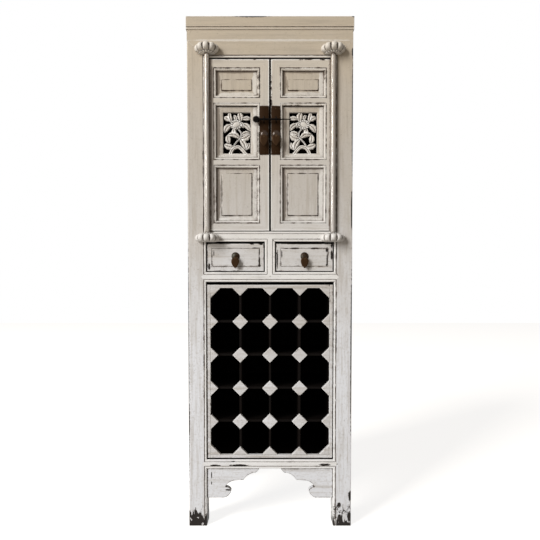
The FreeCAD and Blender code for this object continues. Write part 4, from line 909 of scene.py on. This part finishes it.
def carving(side):
    """The pierced panel of one door, drawn for the left door and mirrored for the right."""
    bm = bmesh.new()
    window_board(bm)
    for foot, tip, width, bend, forward in LEAVES:
        leaf(bm, foot, tip, width, bend, forward)
    for k in range(PETAL_COUNT):
        turn = 2 * math.pi * k / PETAL_COUNT
        way = Vector((math.cos(turn), math.sin(turn)))
        foot = Vector(HEART) + Vector((PETAL_FOOT[0] * way.x, PETAL_FOOT[1] * way.y))
        leaf(bm, foot, foot + PETAL_LENGTH * way, PETAL_WIDTH, 0.04, 0.5 + 0.5 * (k % 2))
    for points, half in STEMS:
        half_widths = [half * (1 + 0.06 * math.sin(1.7 * k)) for k in range(STEM_STEPS + 1)]
        ridge(bm, along_curve(points, STEM_STEPS), half_widths, (CARVING_BACK, CARVING_EDGE, STEM_RISE), 0.30)
    flower_heart(bm)
    low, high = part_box(side + "_carved_panel")
    middle = (low + high) / 2
    flip = 1 if side == "left" else -1
    bmesh.ops.recalc_face_normals(bm, faces=bm.faces)
    if flip < 0:
        bmesh.ops.reverse_faces(bm, faces=bm.faces)
    for vert in bm.verts:
        x, y, z = vert.co
        vert.co = (middle.x + flip * x * MM, FRONT + y * MM, middle.z + (z - WINDOW_DROP) * MM)
    dress(side + "_carving", bm, [PAINT_CARVING], PAINTED, side + "_carved_panel")


# Lobed brackets that the poles turn in, millimetres
BRACKET_RADIUS = 44.0
BRACKET_HEIGHT = 30.0
BRACKET_LOBES = 5
COLLAR_LOBES = 9
LOBE_POINTS = 12
POLE_BEHIND = 9.0
BORE_RADIUS = 4.6
BORE_DEPTH = 14.6
# Rings from the pole's side up: height and radius as shares, and how deep the creases between lobes are
CUSHION = []
for degrees in range(-84, 85, 14):
    climb = math.radians(degrees)
    share = 0.42 + 0.58 * math.cos(climb) ** 0.5
    CUSHION.append((0.55 + 0.45 * math.sin(climb), share, 0.26 * math.cos(climb) ** 0.3))
COLLAR = [(0.0, 0.38, 0.02), (0.0, 0.55, 0.12), (0.03, 0.65, 0.2), (0.09, 0.68, 0.2), (0.16, 0.60, 0.1)]


def half_ring(share, crease, lobes, z):
    """A half-round ring of lobes against the post."""
    points = []
    count = lobes * LOBE_POINTS
    for k in range(count + 1):
        angle = math.pi * k / count
        within = (k % LOBE_POINTS) / LOBE_POINTS
        bulge = math.sqrt(max(0.0, 1 - (2 * within - 1) ** 2))
        r = BRACKET_RADIUS * share * (1 - crease * (1 - bulge))
        points.append((r * math.cos(angle), -r * math.sin(angle), z))
    return points


def tier(bm, profile, lobes, bored):
    """A closed tier of lobes; a bored one has the hole for the pole in its first face."""
    rings = [half_ring(share, crease, lobes, BRACKET_HEIGHT * up) for up, share, crease in profile]
    made = loft(bm, rings, close_ends=False)
    bm.faces.new(reversed(made[-1]))
    if not bored:
        bm.faces.new(made[0])
        return
    hole = []
    for x, y, _ in rings[0]:
        away = Vector((x, y + POLE_BEHIND))
        away = away.normalized() * BORE_RADIUS
        hole.append((away.x, away.y - POLE_BEHIND, 0.0))
    deep = [(x, y, BORE_DEPTH) for x, y, _ in hole]
    inner = loft(bm, [hole, deep], close_ends=False)
    bm.faces.new(inner[-1])
    rim = made[0]
    for i in range(len(rim)):
        j = (i + 1) % len(rim)
        bm.faces.new((rim[j], rim[i], inner[0][i], inner[0][j]))


def bracket(side, level):
    """A collar round the pole under a cushion of lobes; the lower bracket is the upper one upside down."""
    node = side + "_" + level + "_bracket"
    bm = bmesh.new()
    tier(bm, COLLAR, COLLAR_LOBES, True)
    tier(bm, CUSHION, BRACKET_LOBES, False)
    low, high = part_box(node)
    middle = (low.x + high.x) / 2
    for vert in bm.verts:
        x, y, z = vert.co
        up = low.z + z * MM if level == "upper" else high.z - z * MM
        vert.co = (middle + x * MM, FRONT + y * MM, up)
    bmesh.ops.recalc_face_normals(bm, faces=bm.faces)
    dress(node + "_lobes", bm, [PAINT_BRACKET], PAINTED, node)


# Bronze fittings, millimetres. Profiles are radius and distance as shares of the radius.
LATHE_SIDES = 16
NAIL_RADIUS = 1.7
NAIL_INSET = 9.0
NAIL_PROFILE = [(1.0, 0.5), (1.0, -0.1), (0.86, -0.45), (0.5, -0.72), (0.12, -0.8)]
KNOB_RADIUS = 2.2
KNOB_PROFILE = [(0.35, -1.1), (0.8, -0.7), (1.0, 0.0), (0.85, 0.6), (0.5, 1.0), (0.15, 1.2)]
# The eye of a drop: length, outer and inner radius
EYE = (9.0, 3.25, 1.6)
EYE_SIDES = 20
# Distance below the pin and half width of a drop and of its neck, with the levels of each
DROP_SHAPE = [
    (1.0, 6.5), (2.0, 10.0), (4.0, 12.4), (7.0, 13.6), (11.0, 14.0), (15.0, 13.8), (19.0, 13.0), (23.0, 11.5),
    (27.0, 9.2), (30.5, 6.6), (33.5, 3.7), (35.2, 1.7), (36.0, 0.5),
]
DROP_LEVELS = (-3.4, -4.3, 1.9)
NECK_SHAPE = [(-1.5, 3.6), (1.0, 4.2), (4.0, 4.0), (8.0, 2.6)]
NECK_LEVELS = (0.0, -2.6, 2.4)


def lathe(bm, profile, radius, centre, axis):
    """Turns a profile about an axis through the centre."""
    way = Vector(axis).normalized()
    one = way.orthogonal().normalized()
    other = way.cross(one)
    rings = []
    for share, distance in profile:
        ring = []
        for k in range(LATHE_SIDES):
            a = 2 * math.pi * k / LATHE_SIDES
            out = (one * math.cos(a) + other * math.sin(a)) * (share * radius * MM)
            ring.append(Vector(centre) + way * (distance * radius * MM) + out)
        rings.append(ring)
    loft(bm, rings)


def lock_plate(side):
    """The plate with a nail near each end."""
    node = side + "_lock_plate"
    bm = welded(node)
    round_edges(bm, PLATE_ROUND)
    low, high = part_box(node)
    middle = (low.x + high.x) / 2
    for z in (low.z + NAIL_INSET * MM, high.z - NAIL_INSET * MM):
        lathe(bm, NAIL_PROFILE, NAIL_RADIUS, (middle, low.y, z), (0, 1, 0))
    bmesh.ops.recalc_face_normals(bm, faces=bm.faces)
    dress(side + "_plate_and_nails", bm, [BRONZE_FLAT], METAL, node)


def eye(bm, centre):
    """The tube along X that a drop hangs by."""
    length, outer, inner = (v * MM for v in EYE)
    rings = []
    for radius, end in ((outer, -1), (outer, 1), (inner, 1), (inner, -1), (outer, -1)):
        ring = []
        for k in range(EYE_SIDES):
            a = 2 * math.pi * k / EYE_SIDES
            ring.append(centre + Vector((end * length / 2, radius * math.cos(a), radius * math.sin(a))))
        rings.append(ring)
    loft(bm, rings, close_ends=False)
    bmesh.ops.remove_doubles(bm, verts=bm.verts, dist=WELD)


def drop(pull):
    """A leaf-shaped drop with rolled edges that hangs by a neck and an eye on its pin."""
    pin = Vector(next(j["pos_m"] for j in frame["joints"] if j["name"] == pull + "_swing"))
    bm = bmesh.new()
    for shape, levels in ((DROP_SHAPE, DROP_LEVELS), (NECK_SHAPE, NECK_LEVELS)):
        ridge(bm, [Vector((0.0, -down)) for down, _ in shape], [half for _, half in shape], levels)
    for vert in bm.verts:
        vert.co = pin + vert.co * MM
    eye(bm, pin)
    bmesh.ops.recalc_face_normals(bm, faces=bm.faces)
    dress(pull + "_heart", bm, [BRONZE_LEAF], METAL, pull + "_drop")


def pin_point():
    """The thin point of the lock pin with a small knob on its tip."""
    bm = welded("lock_pin_point")
    low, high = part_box("lock_pin_point")
    centre = (high.x - 1.5 * KNOB_RADIUS * MM, (low.y + high.y) / 2, (low.z + high.z) / 2)
    lathe(bm, KNOB_PROFILE, KNOB_RADIUS, centre, (1, 0, 0))
    bmesh.ops.recalc_face_normals(bm, faces=bm.faces)
    dress("pin_point_and_knob", bm, [BRONZE_DARK], METAL, "lock_pin_point")


for side in ("left", "right"):
    carving(side)
    bracket(side, "upper")
    bracket(side, "lower")
    lock_plate(side)
    for place, cast in (("door", BRONZE_CAST), ("drawer", BRONZE_GREEN)):
        pull = side + "_" + place + "_pull"
        soften(pull + "_boss", BOSS_ROUND, cast, METAL)
        drop(pull)
    NODES[side + "_lock_staple"].data.materials.clear()
    NODES[side + "_lock_staple"].data.materials.append(BRONZE_DARK)
soften("lock_pin", PIN_ROUND, BRONZE_DARK, METAL)
pin_point()

# Camera
camera_data = bpy.data.cameras.new("camera")
camera_data.sensor_width = CAMERA_SENSOR
camera_data.lens = CAMERA_LENS
camera_data.shift_y = CAMERA_SHIFT
camera = bpy.data.objects.new("camera", camera_data)
camera.location = CAMERA_PLACE
camera.rotation_euler = (math.radians(CAMERA_TILT), 0.0, 0.0)
bpy.context.scene.collection.objects.link(camera)
bpy.context.scene.camera = camera
bpy.context.scene.view_settings.view_transform = "Standard"

# Lamp
lamp_data = bpy.data.lights.new("key", "AREA")
lamp_data.shape = "RECTANGLE"
lamp_data.size = LAMP_SIZE[0]
lamp_data.size_y = LAMP_SIZE[1]
lamp_data.energy = LAMP_POWER
lamp_data.color = LAMP_COLOUR
lamp = bpy.data.objects.new("key", lamp_data)
lamp.location = LAMP_PLACE
lamp.rotation_euler = (Vector(LAMP_TARGET) - lamp.location).to_track_quat("-Z", "Y").to_euler()
bpy.context.scene.collection.objects.link(lamp)


def seen_directly(s):
    """1 where the camera sees a surface directly, in a mirror or through glass."""
    rays = s.node("LightPath").outputs
    return s.most(rays["Is Camera Ray"], rays["Is Glossy Ray"], rays["Is Transmission Ray"])


# Surround: dim as a light, white where it is seen
world = bpy.data.worlds.new("studio")
bpy.context.scene.world = world
sky = Tree(world)
dim = sky.node("Background", {"Color": SURROUND_COLOUR, "Strength": SURROUND_STRENGTH})
white = sky.node("Background", {"Color": WHITE, "Strength": 1.0})
choice = sky.node("MixShader", {0: seen_directly(sky), 1: dim.outputs[0], 2: white.outputs[0]})
sky.node("OutputWorld", {"Surface": choice.outputs[0]})

# Floor: plain, and lifted towards white where it is seen, with the cabinet's shadow on it
floor_mesh = bpy.data.meshes.new("floor")
floor_corners = [(FLOOR_REACH * x, FLOOR_REACH * y, 0.0) for x, y in ((-1, -1), (1, -1), (1, 1), (-1, 1))]
floor_mesh.from_pydata(floor_corners, [], [(0, 1, 2, 3)])
floor = bpy.data.objects.new("floor", floor_mesh)
bpy.context.scene.collection.objects.link(floor)
ground = Tree(bpy.data.materials.new("floor_paint"))
matt = ground.node("BsdfDiffuse", {"Color": FLOOR_COLOUR})
glow = ground.node("Emission", {"Color": WHITE, "Strength": FLOOR_GLOW})
lifted = ground.node("AddShader", {0: matt.outputs[0], 1: glow.outputs[0]})
choice = ground.node("MixShader", {0: seen_directly(ground), 1: matt.outputs[0], 2: lifted.outputs[0]})
ground.node("OutputMaterial", {"Surface": choice.outputs[0]})
floor_mesh.materials.append(ground.owner)
